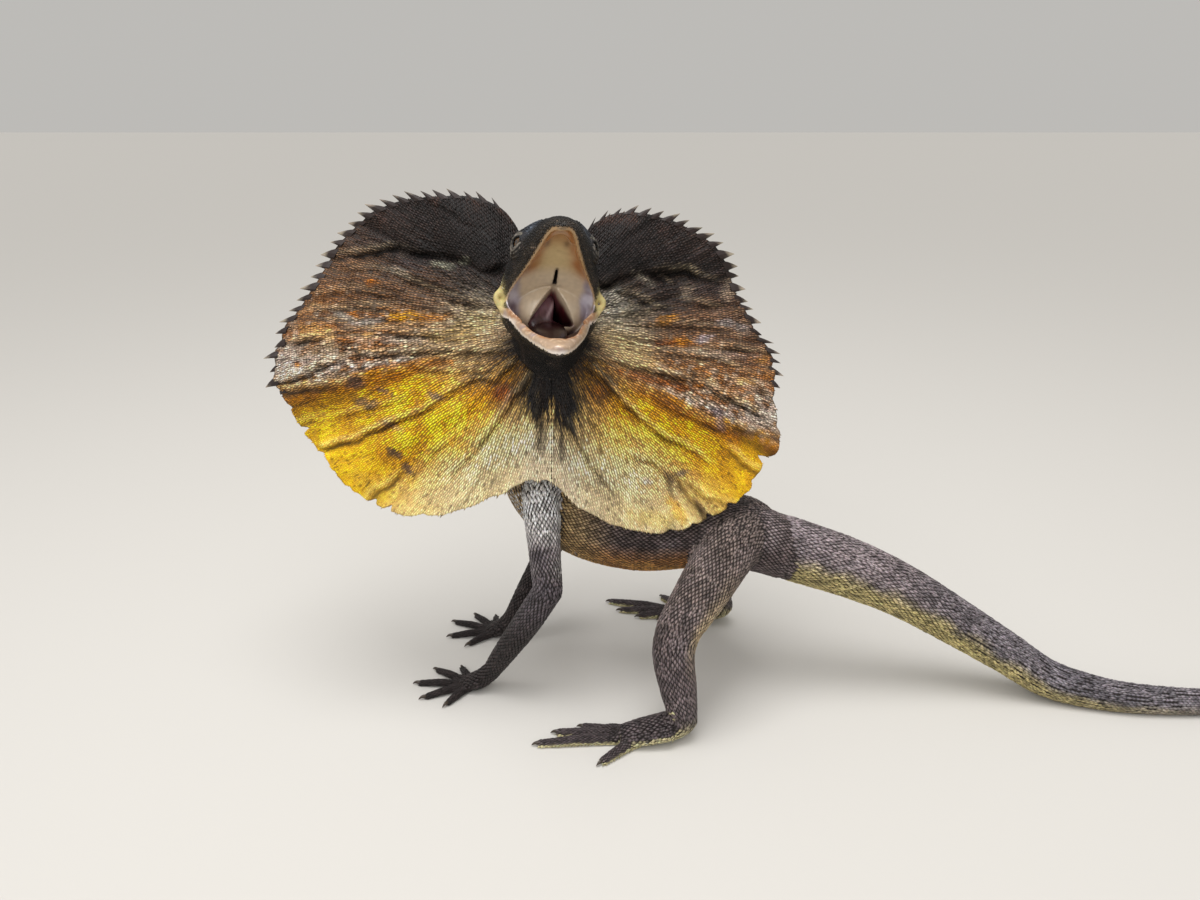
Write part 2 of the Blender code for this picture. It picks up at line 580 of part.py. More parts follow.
def part_cutters(helpers):
    """The plates that part the flesh, and the sockets, nostrils and ears, each a closed mesh."""
    cutters = bpy.data.collections.new("cutters")
    helpers.children.link(cutters)
    for i, (place, facing, radius) in enumerate(CUTS):
        bm = bmesh.new()
        cut_plate(bm, Vector(place) * MM, Vector(facing), radius * MM)
        object_from(bm, f"cut_{i}", cutters)
    facing = frill_axes()[2]
    bm = bmesh.new()
    cut_plate(bm, FRILL_CENTRE + facing * HEAD_CUT["forward"] * MM, facing, HEAD_CUT["radius"] * MM)
    object_from(bm, "cut_head", cutters)
    forward, side, up = mouth_axes()
    bm = bmesh.new()
    middle = (JAW_CUT["back"] + JAW_CUT["front"]) / 2
    turn = Matrix((side, forward, up)).transposed().to_4x4()
    size = (JAW_CUT["width"] * MM, (JAW_CUT["front"] - JAW_CUT["back"]) * MM, GAP, 1.0)
    place = HINGE + (forward * middle + up * JAW_CUT["level"]) * MM
    bmesh.ops.create_cube(bm, size=1.0, matrix=Matrix.Translation(place) @ turn @ Matrix.Diagonal(size))
    object_from(bm, "cut_jaw", cutters)
    forward, side, up = head_axes(SKULL_RISE)
    for hand, name in ((-1, "right"), (1, "left")):
        bm = bmesh.new()
        eye = head_point(SKULL_RISE, EYE["forward"], EYE["side"] * hand, EYE["up"])
        ellipsoid(bm, eye, (side, forward, up), (EYE["radius"] + GAP / MM,) * 3, segments=14)
        object_from(bm, f"socket_{name}", cutters)
        bm = bmesh.new()
        nostril = head_point(SKULL_RISE, NOSTRIL["forward"], NOSTRIL["side"] * hand, NOSTRIL["up"])
        ellipsoid(bm, nostril, (side, forward, up), (NOSTRIL["radius"],) * 3, segments=8)
        object_from(bm, f"nostril_{name}", cutters)
        bm = bmesh.new()
        ear = head_point(SKULL_RISE, EAR["forward"], EAR["side"] * hand, EAR["up"])
        ellipsoid(bm, ear, (side, forward, up), EAR["size"], segments=12)
        object_from(bm, f"ear_{name}", cutters)
    for cutter in cutters.objects:
        cutter.hide_render = True
        cutter.display_type = "WIRE"
    return cutters


def frill_axes():
    """The frill's side (towards +X), up and facing directions."""
    facing = Vector((0.0, -math.cos(FRILL_RISE), math.sin(FRILL_RISE)))
    up = Vector((0.0, math.sin(FRILL_RISE), math.cos(FRILL_RISE)))
    return Vector((1.0, 0.0, 0.0)), up, facing


def fold_height(name, angle, share):
    """How far the folds lift the frill towards the viewer, in mm, at an angle and share of its reach."""
    height = 0.0
    for root_angle, rim_angle, lift, below, above, start in FOLDS[name]:
        crest = root_angle + (rim_angle - root_angle) * share**0.6
        width = below if angle < crest else above
        height += lift * math.exp(-(((angle - crest) / width) ** 2)) * smoothstep(start, 1.0, share) ** 0.8
    return height


def frill_point(name, angle, share):
    """A point of the frill's middle sheet, at degrees from straight down and a share of its reach."""
    hand = 1 if name == "frill_left" else -1
    side, up, facing = frill_axes()
    reach = FRILL_ROOT + (read_profile(OUTLINE[name], angle) * MM - FRILL_ROOT) * share
    turn = math.radians(angle)
    across = hand * max(reach * math.sin(turn), GAP)
    rise = -reach * math.cos(turn)
    lean = read_profile(LEAN, angle) * reach - across * FRILL_TURN * -1
    lift = fold_height(name, angle, share) * MM
    return FRILL_CENTRE + side * across + up * rise + facing * (lift - lean)


def frill_sheet(name, helpers):
    """One half of the frill, a folded sheet split alike on both faces and thinner at the rim."""
    last = OUTLINE[name][-1][0]
    bm = bmesh.new()
    bmesh.ops.create_grid(bm, x_segments=FRILL_COLUMNS, y_segments=FRILL_ROWS, size=1.0)
    shares = {}
    for vert in bm.verts:
        share = (vert.co.y + 1) / 2
        vert.co = frill_point(name, (vert.co.x + 1) / 2 * last, share)
        shares[vert.index] = share
    bmesh.ops.triangulate(bm, faces=bm.faces)
    mesh = bpy.data.meshes.new(name)
    bm.to_mesh(mesh)
    bm.free()
    sheet = add_object(name, mesh, helpers)
    group = sheet.vertex_groups.new(name="thick")
    for index, share in shares.items():
        group.add([index], 1 - share, "REPLACE")
    shell = sheet.modifiers.new("shell", "SOLIDIFY")
    shell.thickness = FRILL_THICK[0]
    shell.offset = 0.0
    shell.vertex_group = "thick"
    shell.thickness_vertex_group = FRILL_THICK[1] / FRILL_THICK[0]
    bake(sheet)
    bm = bmesh.new()
    bm.from_mesh(sheet.data)
    bmesh.ops.recalc_face_normals(bm, faces=bm.faces)
    bm.to_mesh(sheet.data)
    bm.free()
    return sheet


def frill_spines(name, helpers):
    """The pointed scales along the upper rim, each sunk in the rim and leaning away from the nape."""
    spines = bpy.data.collections.new("spines_" + name)
    helpers.children.link(spines)
    last = OUTLINE[name][-1][0]
    least, more, vary = SPINE_SIZE
    angle, count = SPINES["first"], 0
    while angle < SPINES["last"]:
        rim = frill_point(name, angle, 1.0)
        inner = frill_point(name, angle, 0.93)
        out = (rim - inner).normalized()
        along = (frill_point(name, min(angle + 2, last), 1.0) - rim).normalized()
        middle = math.sin(math.pi * (angle - SPINES["first"]) / (last - SPINES["first"]))
        size = least + more * middle + vary * math.sin(count * 2.3)
        tip = rim + (out - along * SPINE_LEAN).normalized() * SPINES["height"] * size
        bm = bmesh.new()
        cone(bm, rim - out * SPINES["root"], tip, SPINES["radius"] * size, SPINES["sides"])
        object_from(bm, f"spine_{name}_{count}", spines)
        step = (frill_point(name, min(angle + 1, last), 1.0) - rim).length
        angle += SPINES["step"] / max(step, 0.0008)
        count += 1
    return spines


def remove_collection(collection):
    for obj in list(collection.objects):
        bpy.data.objects.remove(obj, do_unlink=True)
    bpy.data.collections.remove(collection)


def grown_copy(flesh, helpers):
    """The flesh, thinned and swollen by the gap that touching nodes keep."""
    grown = add_object("grown", flesh.data.copy(), helpers)
    thin_to(grown, GROWN_FACES)
    swell = grown.modifiers.new("swell", "DISPLACE")
    swell.strength = GAP * 1.15
    swell.mid_level = 0.0
    return bake(grown)


def make_frill(grown, helpers, model):
    for name in OUTLINE:
        sheet = frill_sheet(name, helpers)
        spines = frill_spines(name, helpers)
        boolean(sheet, spines, "UNION", "MANIFOLD")
        remove_collection(spines)
        boolean(sheet, grown, "DIFFERENCE")
        keep_largest(sheet)
        move_to(sheet, model)


def move_to(obj, collection):
    for old in list(obj.users_collection):
        old.objects.unlink(obj)
    collection.objects.link(obj)


def make_tongue(grown, helpers, model):
    """The tongue, a low pad on the floor of the mouth, cut clear of it."""
    forward, side, up = head_axes(JAW_RISE)
    bm = bmesh.new()
    sections = []
    for reach, half_width, height in smooth_rows(TONGUE, 3):
        centre = HINGE + (forward * reach - up * 5.0) * MM
        sections.append((centre, side, up, half_width * MM, height * MM, 3.0 * MM))
    loft(bm, sections)
    tongue = object_from(bm, "tongue", helpers)
    boolean(tongue, grown, "DIFFERENCE")
    keep_largest(tongue)
    thin_to(tongue, NODE_FACES["tongue"])
    move_to(tongue, model)


def make_eyes(model):
    forward, side, up = head_axes(SKULL_RISE)
    for hand, name in ((-1, "eye_right"), (1, "eye_left")):
        bm = bmesh.new()
        eye = head_point(SKULL_RISE, EYE["forward"], EYE["side"] * hand, EYE["up"])
        ellipsoid(bm, eye, (side, forward, up), (EYE["radius"],) * 3, segments=14)
        bmesh.ops.triangulate(bm, faces=bm.faces)
        object_from(bm, name, model)


def part_flesh(flesh, helpers, model):
    """Cuts the fused flesh, and names each piece by the seed that lies nearest to its middle."""
    cutters = part_cutters(helpers)
    boolean(flesh, cutters, "DIFFERENCE", "MANIFOLD")
    seeds = {name: Vector(place) * MM for name, place in NODE_SEEDS.items()}
    seeds["head"] = head_point(SKULL_RISE, 20, 0, 16)
    seeds["lower_jaw"] = head_point(JAW_RISE, 18, 0, -8)
    bm = bmesh.new()
    bm.from_mesh(flesh.data)
    bmesh.ops.triangulate(bm, faces=bm.faces)
    for faces in face_islands(bm):
        if len(faces) < 24:
            continue
        verts = {v for face in faces for v in face.verts}
        low = Vector([min(v.co[k] for v in verts) for k in range(3)])
        high = Vector([max(v.co[k] for v in verts) for k in range(3)])
        name = min(seeds, key=lambda key: (seeds[key] - (low + high) / 2).length)
        index = {v: i for i, v in enumerate(verts)}
        mesh = bpy.data.meshes.new(name)
        mesh.from_pydata([v.co for v in index], [], [[index[v] for v in face.verts] for face in faces])
        mesh.update()
        thin_to(add_object(name, mesh, model), next(NODE_FACES[kind] for kind in NODE_FACES if kind in name))
    bm.free()
    bpy.data.objects.remove(flesh, do_unlink=True)
    remove_collection(cutters)


def add_claws(model, helpers):
    """A claw on each digit, with its root sunk in the toe and its point just above the floor."""
    names = {"foreleg_left": "hand_left", "foreleg_right": "hand_right",
             "hindleg_left": "foot_left", "hindleg_right": "foot_right"}
    for leg_name, node in names.items():
        leg = LEGS[leg_name]
        claws = bpy.data.collections.new("claws_" + node)
        helpers.children.link(claws)
        for i, (turn, length) in enumerate(leg["digits"]):
            points = digit_points(leg, turn, length)
            along = (points[-1] - points[-2]).normalized()
            along.z = 0.0
            base = points[-1] - along * CLAW["root"]
            base.z += CLAW["rise"]
            tip = points[-1] + along * CLAW["length"]
            tip.z = CLAW["tip"]
            bm = bmesh.new()
            cone(bm, base, tip, CLAW["radius"], CLAW["sides"])
            object_from(bm, f"claw_{node}_{i}", claws)
        boolean(model.objects[node], claws, "UNION", "MANIFOLD")
        remove_collection(claws)
        keep_largest(model.objects[node])


def level_soles(model, helpers):
    """Cuts every node that meets the floor level with it, so that the model rests on small flats."""
    bm = bmesh.new()
    size = Matrix.Diagonal((FLOOR_CUT[0], FLOOR_CUT[1], FLOOR_CUT[2], 1.0))
    bmesh.ops.create_cube(bm, size=1.0, matrix=Matrix.Translation((0.15, 0.0, -FLOOR_CUT[2] / 2)) @ size)
    floor_cut = object_from(bm, "floor_cut", helpers)
    for obj in model.objects:
        if min(v.co.z for v in obj.data.vertices) < 0.0:
            boolean(obj, floor_cut, "DIFFERENCE")
            keep_largest(obj)


def finish(model):
    """Gives each node its finish and moves the model so that its origin is on the floor under its middle."""
    hide = finish_material("hide", 0.75)
    frill_skin = finish_material("frill_skin", 0.7)
    mouth_skin = finish_material("mouth_skin", 0.35)
    eye_black = finish_material("eye_black", 0.1)
    for obj in model.objects:
        name = obj.name
        finish_of = frill_skin if name in OUTLINE else mouth_skin if name == "tongue" else hide
        obj.data.materials.clear()
        obj.data.materials.append(eye_black if name.startswith("eye") else finish_of)
        obj.data.transform(Matrix.Translation(ORIGIN_SHIFT))
        obj.data.shade_smooth()


def main():
    clear_scene()
    model = new_collection("frilled_lizard")
    helpers = new_collection("helpers")
    helpers.hide_render = True
    flesh = fused_flesh(helpers)
    grown = grown_copy(flesh, helpers)
    make_frill(grown, helpers, model)
    make_tongue(grown, helpers, model)
    make_eyes(model)
    part_flesh(flesh, helpers, model)
    add_claws(model, helpers)
    level_soles(model, helpers)
    bpy.data.objects.remove(grown, do_unlink=True)
    for obj in list(helpers.objects):
        bpy.data.objects.remove(obj, do_unlink=True)
    finish(model)


main()
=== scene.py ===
import math

import bmesh
import bpy
import numpy as np
from mathutils import Matrix, Vector, noise
from mathutils.bvhtree import BVHTree
from mathutils.kdtree import KDTree


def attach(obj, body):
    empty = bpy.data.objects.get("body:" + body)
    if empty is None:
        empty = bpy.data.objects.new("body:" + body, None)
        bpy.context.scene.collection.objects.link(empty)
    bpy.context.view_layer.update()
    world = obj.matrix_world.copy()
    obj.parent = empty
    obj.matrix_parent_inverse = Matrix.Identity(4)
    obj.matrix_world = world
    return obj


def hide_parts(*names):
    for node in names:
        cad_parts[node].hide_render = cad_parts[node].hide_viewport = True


mm = 0.001
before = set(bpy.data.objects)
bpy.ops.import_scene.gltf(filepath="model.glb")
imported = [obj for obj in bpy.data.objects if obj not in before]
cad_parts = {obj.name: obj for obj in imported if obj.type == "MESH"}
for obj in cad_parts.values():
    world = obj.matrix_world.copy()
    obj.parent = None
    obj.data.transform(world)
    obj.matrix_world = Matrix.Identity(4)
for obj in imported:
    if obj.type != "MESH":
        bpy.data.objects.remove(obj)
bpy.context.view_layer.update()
# from the place where the pose was laid out to the model's own origin
poseShift = np.array((-169.78, 10.9, 0.0)) * mm


def toLinear(code):
    parts = [int(code[i:i + 2], 16) / 255 for i in (0, 2, 4)]
    return np.array([p / 12.92 if p <= 0.04045 else ((p + 0.055) / 1.055) ** 2.4 for p in parts])


def ease(low, high, value):
    share = np.clip((value - low) / (high - low), 0.0, 1.0)
    return share * share * (3 - 2 * share)


def bell(value, middle, width):
    return np.exp(-(((value - middle) / width) ** 2))


def cloud(points, size, seed=0.0):
    # soft noise from about -1 to 1, with features about size across
    return np.array([noise.noise(Vector(p)) for p in np.asarray(points) / size + seed])


def paint(base, code, amount):
    # lays a named colour over colours that are already there
    amount = np.asarray(amount)[:, None]
    return base * (1 - amount) + toLinear(code) * amount


def layer(base, coats):
    # several colours laid one over the other
    for code, amount in coats:
        base = paint(base, code, amount)
    return base


def blend(before, start, end, after, share):
    return 0.5 * (
        2 * start + (end - before) * share + (2 * before - 5 * start + 4 * end - after) * share**2
        + (3 * start - before - 3 * end + after) * share**3
    )


def readProfile(profile, at):
    # the value of (place, value) pairs at each place, along one smooth curve
    places, values = np.array(profile, float).T
    last = len(places) - 1
    index = np.clip(np.searchsorted(places, at, side="right") - 1, 0, last - 1)
    share = np.clip((at - places[index]) / (places[index + 1] - places[index]), 0.0, 1.0)
    around = [values[np.clip(index + k, 0, last)] for k in (-1, 0, 1, 2)]
    return blend(*around, share)


def smoothRows(rows, steps):
    rows = np.array(rows, float)
    last = len(rows) - 1
    filled = []
    for i in range(last):
        around = [rows[min(max(i + k, 0), last)] for k in (-1, 0, 1, 2)]
        filled += [blend(*around, j / steps) for j in range(steps)]
    filled.append(rows[-1])
    return np.array(filled)


def unit(vectors):
    return vectors / np.maximum(np.linalg.norm(vectors, axis=-1, keepdims=True), 1e-12)


# Camera, floor and lights

viewer = {"lens": 27.0, "sensor": 36.0, "downwards": 20.0, "place": (0.0, -460.0, 299.4)}
studio = {
    "floor": "c4c1bc", "sky": "d3d1cd", "skyStrength": 0.78, "floorSize": 60.0, "sun": 1.75,
    "boxes": {
        "topBox": {"place": (-0.25, -0.15, 1.15), "size": 0.6, "power": 6.5},
        "frontBox": {"place": (-0.5, -1.0, 0.55), "size": 0.7, "power": 3.0},
    },
}


def addNode(tree, kind, links=None, **settings):
    # adds one node, sets its properties and sockets, and links sockets by name or number
    node = tree.nodes.new(kind)
    for name, value in settings.items():
        if hasattr(node, name):
            setattr(node, name, value)
        else:
            node.inputs[name.replace("_", " ")].default_value = value
    for name, source in (links or {}).items():
        tree.links.new(source, node.inputs[name])
    return node


def newMaterial(name):
    material = bpy.data.materials.new(name)
    material.use_nodes = True
    tree = material.node_tree
    return material, tree, tree.nodes["Principled BSDF"]


def addObject(name, mesh):
    piece = bpy.data.objects.new(name, mesh)
    bpy.context.scene.collection.objects.link(piece)
    return piece


def makeStudio():
    lens = bpy.data.cameras.new("camera")
    camera = addObject("camera", lens)
    lens.lens = viewer["lens"]
    lens.sensor_width = viewer["sensor"]
    lens.clip_start = 0.01
    camera.location = Vector(np.array(viewer["place"]) * mm + poseShift)
    camera.rotation_euler = (math.radians(90 - viewer["downwards"]), 0, 0)
    bpy.context.scene.camera = camera

    bm = bmesh.new()
    bmesh.ops.create_grid(bm, x_segments=1, y_segments=1, size=studio["floorSize"] / 2)
    mesh = bpy.data.meshes.new("floor")
    bm.to_mesh(mesh)
    bm.free()
    floor = addObject("floor", mesh)
    # Matt painted board: an even pale tone without a sheen
    material, _, shader = newMaterial("mattPaintedBoard")
    shader.inputs["Base Color"].default_value = (*toLinear(studio["floor"]), 1)
    shader.inputs["Roughness"].default_value = 0.9
    mesh.materials.append(material)

    # one wide lamp like an even sky for the floor, two soft boxes for the animal
    sky = bpy.data.lights.new("skyLamp", "SUN")
    sky.energy = studio["sun"]
    sky.angle = math.radians(70)
    lamp = addObject("skyLamp", sky)
    lamp.rotation_euler = (math.radians(24), math.radians(-10), 0)
    for name, box in studio["boxes"].items():
        light = bpy.data.lights.new(name, "AREA")
        light.shape = "SQUARE"
        light.size = box["size"]
        light.energy = box["power"]
        lamp = addObject(name, light)
        place = Vector(box["place"])
        lamp.location = place
        lamp.rotation_euler = (Vector((-0.1, 0.0, 0.12)) - place).to_track_quat("-Z", "Y").to_euler()

    world = bpy.data.worlds.new("paleRoom")
    world.use_nodes = True
    background = world.node_tree.nodes["Background"]
    background.inputs["Color"].default_value = (*toLinear(studio["sky"]), 1)
    background.inputs["Strength"].default_value = studio["skyStrength"]
    bpy.context.scene.world = world
    bpy.context.scene.view_settings.view_transform = "Standard"
    print("stage: camera, floor and lights")


makeStudio()


# Meshes from operators

def meshPiece(bm, name):
    bmesh.ops.recalc_face_normals(bm, faces=bm.faces)
    mesh = bpy.data.meshes.new(name)
    bm.to_mesh(mesh)
    bm.free()
    return addObject(name, mesh)


def bake(piece):
    bpy.context.view_layer.update()
    graph = bpy.context.evaluated_depsgraph_get()
    mesh = bpy.data.meshes.new_from_object(piece.evaluated_get(graph))
    piece.modifiers.clear()
    old = piece.data
    piece.data = mesh
    bpy.data.meshes.remove(old)
    return piece


def fuse(piece, grain, passes):
    # melts overlapping closed forms into one skin and softens the joins
    remesh = piece.modifiers.new("fuse", "REMESH")
    remesh.mode = "VOXEL"
    remesh.voxel_size = grain
    remesh.adaptivity = 0.0
    if passes:
        soften = piece.modifiers.new("soften", "SMOOTH")
        soften.factor = 0.5
        soften.iterations = passes
    return bake(piece)


def carve(piece, cutter):
    modifier = piece.modifiers.new("carve", "BOOLEAN")
    modifier.operation = "DIFFERENCE"
    modifier.solver = "MANIFOLD"
    modifier.object = cutter
    bake(piece)
    bpy.data.objects.remove(cutter, do_unlink=True)
    return piece


def loft(bm, sections, sides):
    # a closed body through sections of (centre, side, up, half width, height up, height down)
    previous = None
    for centre, side, up, halfWidth, rise, drop in sections:
        ring = bmesh.ops.create_circle(bm, segments=sides, radius=1.0)["verts"]
        for vert in ring:
            across, height = vert.co.x, vert.co.y
            vert.co = centre + side * (across * halfWidth) + up * (height * (rise if height > 0 else drop))
        edges = list({e for v in ring for e in v.link_edges})
        if previous is None:
            bmesh.ops.contextual_create(bm, geom=ring)
        else:
            bmesh.ops.bridge_loops(bm, edges=previous + edges)
        previous = edges
        lastRing = ring
    bmesh.ops.contextual_create(bm, geom=lastRing)


def lineFrames(centres):
    # forward, side and up directions along a line of points
    ahead = np.roll(centres, -1, axis=0)
    ahead[-1] = centres[-1]
    behind = np.roll(centres, 1, axis=0)
    behind[0] = centres[0]
    forward = unit(ahead - behind)
    side = np.cross(forward, (0, 0, 1))
    upright = np.linalg.norm(side, axis=1) < 0.35
    side[upright] = np.cross(np.cross((0, 1, 0), forward[upright]), forward[upright])
    side = unit(side)
    return forward, side, np.cross(side, forward)


def sweep(bm, rows, steps, sides=32):
    # round or oval sections along a line of (x, y, z, half width, half height) rows in mm
    rows = smoothRows(rows, steps)
    centres = rows[:, :3] * mm
    _, side, up = lineFrames(centres)
    loft(bm, [(Vector(c), Vector(s), Vector(u), r[3] * mm, r[4] * mm, r[4] * mm)
              for c, s, u, r in zip(centres, side, up, rows)], sides)


def ellipsoid(bm, centre, axes, size, segments=24):
    turn = Matrix([Vector(a) for a in axes]).transposed().to_4x4()
    scale = Matrix.Diagonal((size[0] * mm, size[1] * mm, size[2] * mm, 1.0))
    matrix = Matrix.Translation(Vector(centre)) @ turn @ scale
    bmesh.ops.create_uvsphere(bm, u_segments=segments, v_segments=segments // 2, radius=1.0, matrix=matrix)


def corners(mesh):
    points = np.empty(len(mesh.vertices) * 3, np.float32)
    mesh.vertices.foreach_get("co", points)
    return points.reshape(-1, 3).astype(float)


def vertexNormals(mesh):
    normals = np.empty(len(mesh.vertices) * 3, np.float32)
    mesh.vertex_normals.foreach_get("vector", normals)
    return normals.reshape(-1, 3).astype(float)


def setCorners(mesh, points):
    mesh.vertices.foreach_set("co", points.astype(np.float32).ravel())
    mesh.update()


def setTint(mesh, colours):
    tint = mesh.color_attributes.new("tint", "FLOAT_COLOR", "POINT")
    full = np.c_[np.clip(colours, 0, 1), np.ones(len(colours))]
    tint.data.foreach_set("color", full.astype(np.float32).ravel())


def surfaceTree(piece):
    mesh = piece.data
    return BVHTree.FromPolygons([v.co for v in mesh.vertices], [p.vertices for p in mesh.polygons])


# Flesh: where the trunk, tail and legs run, in mm, as x, y, z, half width, half height

trunk = [
    (101, -21.0, 82.5, 16.5, 16.5), (88, -19.5, 87.0, 18.0, 17.5), (74, -17.0, 90.5, 20.0, 18.5),
    (49, -13.5, 90.5, 22.0, 20.5), (22, -10.0, 90.5, 25.0, 23.5), (-5, -6.0, 96.0, 25.0, 24.0),
    (-25, -3.0, 108.0, 23.0, 22.5), (-33, 1.0, 125.0, 22.5, 22.0), (-32, 2.0, 144.0, 20.5, 20.5),
    (-29, 0.0, 164.0, 19.0, 19.0), (-27, -5.0, 184.0, 18.5, 18.5), (-25.5, -12.0, 199.0, 19.0, 19.0),
    (-25, -20.0, 209.0, 19.0, 18.0),
]
nape = trunk[9:]
tail = [(*place, radius, radius) for place, radius in (
    ((88, -19.5, 87.0), 16.5), ((104, -20.5, 82.3), 16.9), ((136, -22.5, 71.8), 15.9),
    ((165, -24.5, 59.0), 14.4), ((199, -28.5, 39.6), 12.6), ((223, -33.0, 25.6), 11.3),
    ((245, -37.5, 12.6), 10.3), ((267, -44.0, 8.2), 9.0), ((290, -49.0, 7.0), 7.8),
    ((324, -50.5, 6.0), 6.8), ((362, -47.5, 5.2), 5.9), ((404, -38.0, 4.3), 5.0),
    ((448, -17.0, 3.3), 3.9), ((482, 15.0, 2.3), 2.9), ((506, 56.0, 1.5), 2.0),
)]
legs = {
    "forelegLeft": {
        "upper": [(-29, -14, 121, 11), (-31, -25, 113, 10), (-29, -37, 92, 8.6), (-27, -46, 71, 7.8)],
        "lower": [(-27, -46, 71, 7.8), (-39, -43, 50, 7.6), (-52, -37, 28, 6.4), (-60, -33, 14, 5.2)],
        "palm": [(-60, -33, 14, 5.2), (-66, -31.5, 8, 5.4), (-72, -30, 4.6, 5.0), (-77, -29, 3.4, 3.6)],
        "heading": 172.0, "digits": [(-58, 14), (-28, 22), (2, 25), (30, 21), (62, 14)],
        "digitRadius": 2.4,
    },
    "forelegRight": {
        "upper": [(-28, 10, 120, 11), (-29, 20, 112, 10), (-26, 33, 92, 8.6), (-22, 42, 72, 7.8)],
        "lower": [(-22, 42, 72, 7.8), (-33, 36, 51, 7.6), (-46, 28, 28, 6.4), (-54, 24, 14, 5.2)],
        "palm": [(-54, 24, 14, 5.2), (-59, 24.5, 8, 5.4), (-64, 26, 4.6, 5.0), (-68.5, 28, 3.4, 3.6)],
        "heading": 156.0, "digits": [(62, 14), (30, 22), (-2, 25), (-30, 21), (-58, 14)],
        "digitRadius": 2.4,
    },
    "hindlegLeft": {
        "upper": [(80, -18, 92, 16), (70, -30, 90, 15.5), (55, -48, 76, 14), (40, -64, 60, 11.5)],
        "lower": [(40, -64, 60, 11.5), (37, -69, 48, 10.8), (40, -72, 28, 9.4), (43, -73, 12, 7.2)],
        "palm": [(43, -73, 12, 7.6), (36, -74, 8.2, 7.4), (22, -76, 6.2, 6.8), (10, -77.5, 4.6, 5.2)],
        "heading": 184.0, "digits": [(-34, 14), (-22, 27), (-11, 39), (0, 48), (36, 22)],
        "digitRadius": 2.9,
    },
    "hindlegRight": {
        "upper": [(82, -16, 92, 16), (76, -4, 91, 15.5), (66, 16, 80, 14), (56, 34, 64, 11.5)],
        "lower": [(56, 34, 64, 11.5), (60, 40, 50, 10.8), (70, 42, 30, 9.4), (77, 43, 12, 7.2)],
        "palm": [(77, 43, 12, 7.6), (71, 45, 8.2, 7.4), (58, 49, 6.2, 6.8), (47, 52.5, 4.6, 5.2)],
        "heading": 162.0, "digits": [(34, 14), (22, 27), (11, 39), (0, 48), (-36, 22)],
        "digitRadius": 2.9,
    },
}
fleshFinish = {"grain": 1.1, "passes": 5, "scaleDepth": 0.25, "digitHeight": 2.16, "floorGap": 0.15}


def fullRow(row):
    return (*row, row[-1]) if len(row) == 4 else row


# along a digit: share of its length, height of its middle line and share of its radius
digitShape = [(0, 1.2, 1.15), (0.3, 1.15, 1.0), (0.55, 1.3, 1.0), (0.8, 0.95, 0.9), (1, 0.6, 0.78)]


def digitRows(leg, turn, length):
    # one finger or toe from the ball of the foot to its tip
    ball = np.array(leg["palm"][2][:2], float)
    heading = math.radians(leg["heading"] + turn)
    ahead = np.array((math.cos(heading), math.sin(heading)))
    rows = []
    for share, height, girth in digitShape:
        place = ball + ahead * (length + 6) * share
        radius = leg["digitRadius"] * girth
        rows.append((*place, fleshFinish["digitHeight"] * height, radius, radius))
    return rows


def limbLines():
    # every tube of flesh with its rows, for the skin and for the lie of the scales
    lines = {"trunk": trunk[:11], "tail": tail}
    for name, leg in legs.items():
        for part in ("upper", "lower", "palm"):
            lines[name + "." + part] = [fullRow(row) for row in leg[part]]
        for i, (turn, length) in enumerate(leg["digits"]):
            lines[f"{name}.digit{i}"] = digitRows(leg, turn, length)
    return lines


def lieLines():
    # the same tubes with each leg as one line from hip to sole, so that rows of scales turn round joints
    lines = limbLines()
    joined = {}
    for name, rows in lines.items():
        if name.endswith(".upper"):
            leg = name[:-6]
            rows = rows + lines[leg + ".lower"][1:] + lines[leg + ".palm"][1:]
            joined[leg + ".limb"] = [fullRow(row) for row in rows]
        elif ".digit" in name or "." not in name:
            joined[name] = rows
    return joined


def makeBodySkin():
    bm = bmesh.new()
    for name, rows in limbLines().items():
        sweep(bm, rows, 6 if name in ("trunk", "tail") else 5, 36 if name in ("trunk", "tail") else 28)
        if name.endswith("palm"):
            sweep(bm, [(*row[:3], row[3] * 1.3, row[3] * 0.85) for row in rows[1:]], 4)
    for leg in legs.values():
        for *place, radius in (leg["upper"][-1], leg["lower"][-1]):
            ellipsoid(bm, np.array(place) * mm, np.eye(3), (radius,) * 3)
    skin = meshPiece(bm, "bodySkin")
    fuse(skin, fleshFinish["grain"] * mm, fleshFinish["passes"])
    points = corners(skin.data)
    points = points - vertexNormals(skin.data) * fleshFinish["scaleDepth"] * mm
    points[:, 2] = np.maximum(points[:, 2], fleshFinish["floorGap"] * mm)
    setCorners(skin.data, points + poseShift)
    return skin


bodySkin = makeBodySkin()
print("stage: body skin", len(bodySkin.data.polygons))


# Head: the jaws along their own lines from the hinge, as forward, half width, up, down and level, in mm

headPose = {"hinge": (-24.8, -26.8, 212.0), "turn": 8.0, "roll": 4.5, "skullRise": 50.0, "jawRise": -3.5}
skull = [
    (-15, 14, 13, 10, 4), (-9, 19.5, 16, 12, 5), (-2, 23.5, 18.5, 13, 6), (7, 24, 19.5, 14, 7),
    (16, 22.6, 19.2, 15, 7.8), (25, 20.3, 18, 14.2, 9), (33, 18.0, 16, 12.4, 9),
    (40, 15.8, 13.9, 10.6, 8.1), (47, 12.4, 10.2, 8.3, 6.4), (53, 9.4, 7.3, 6.6, 4.7),
    (57.5, 6.4, 4.7, 5.1, 3.5), (60, 3.0, 2, 3.6, 2.6),
]
jaw = [
    (-10, 16.8, 8, 12, -3), (-2, 20.6, 6, 13, -2), (7, 20.0, 5, 12.5, -1), (16, 18.1, 4, 11, -1),
    (25, 15.9, 3.5, 9.5, -1), (34, 13.3, 3, 8, -1), (42, 10.5, 3, 6.8, -1), (48, 8.0, 2.8, 5.8, -1),
    (53, 5.4, 2.4, 4.6, -1), (56.5, 2.4, 1.6, 2.8, -1),
]
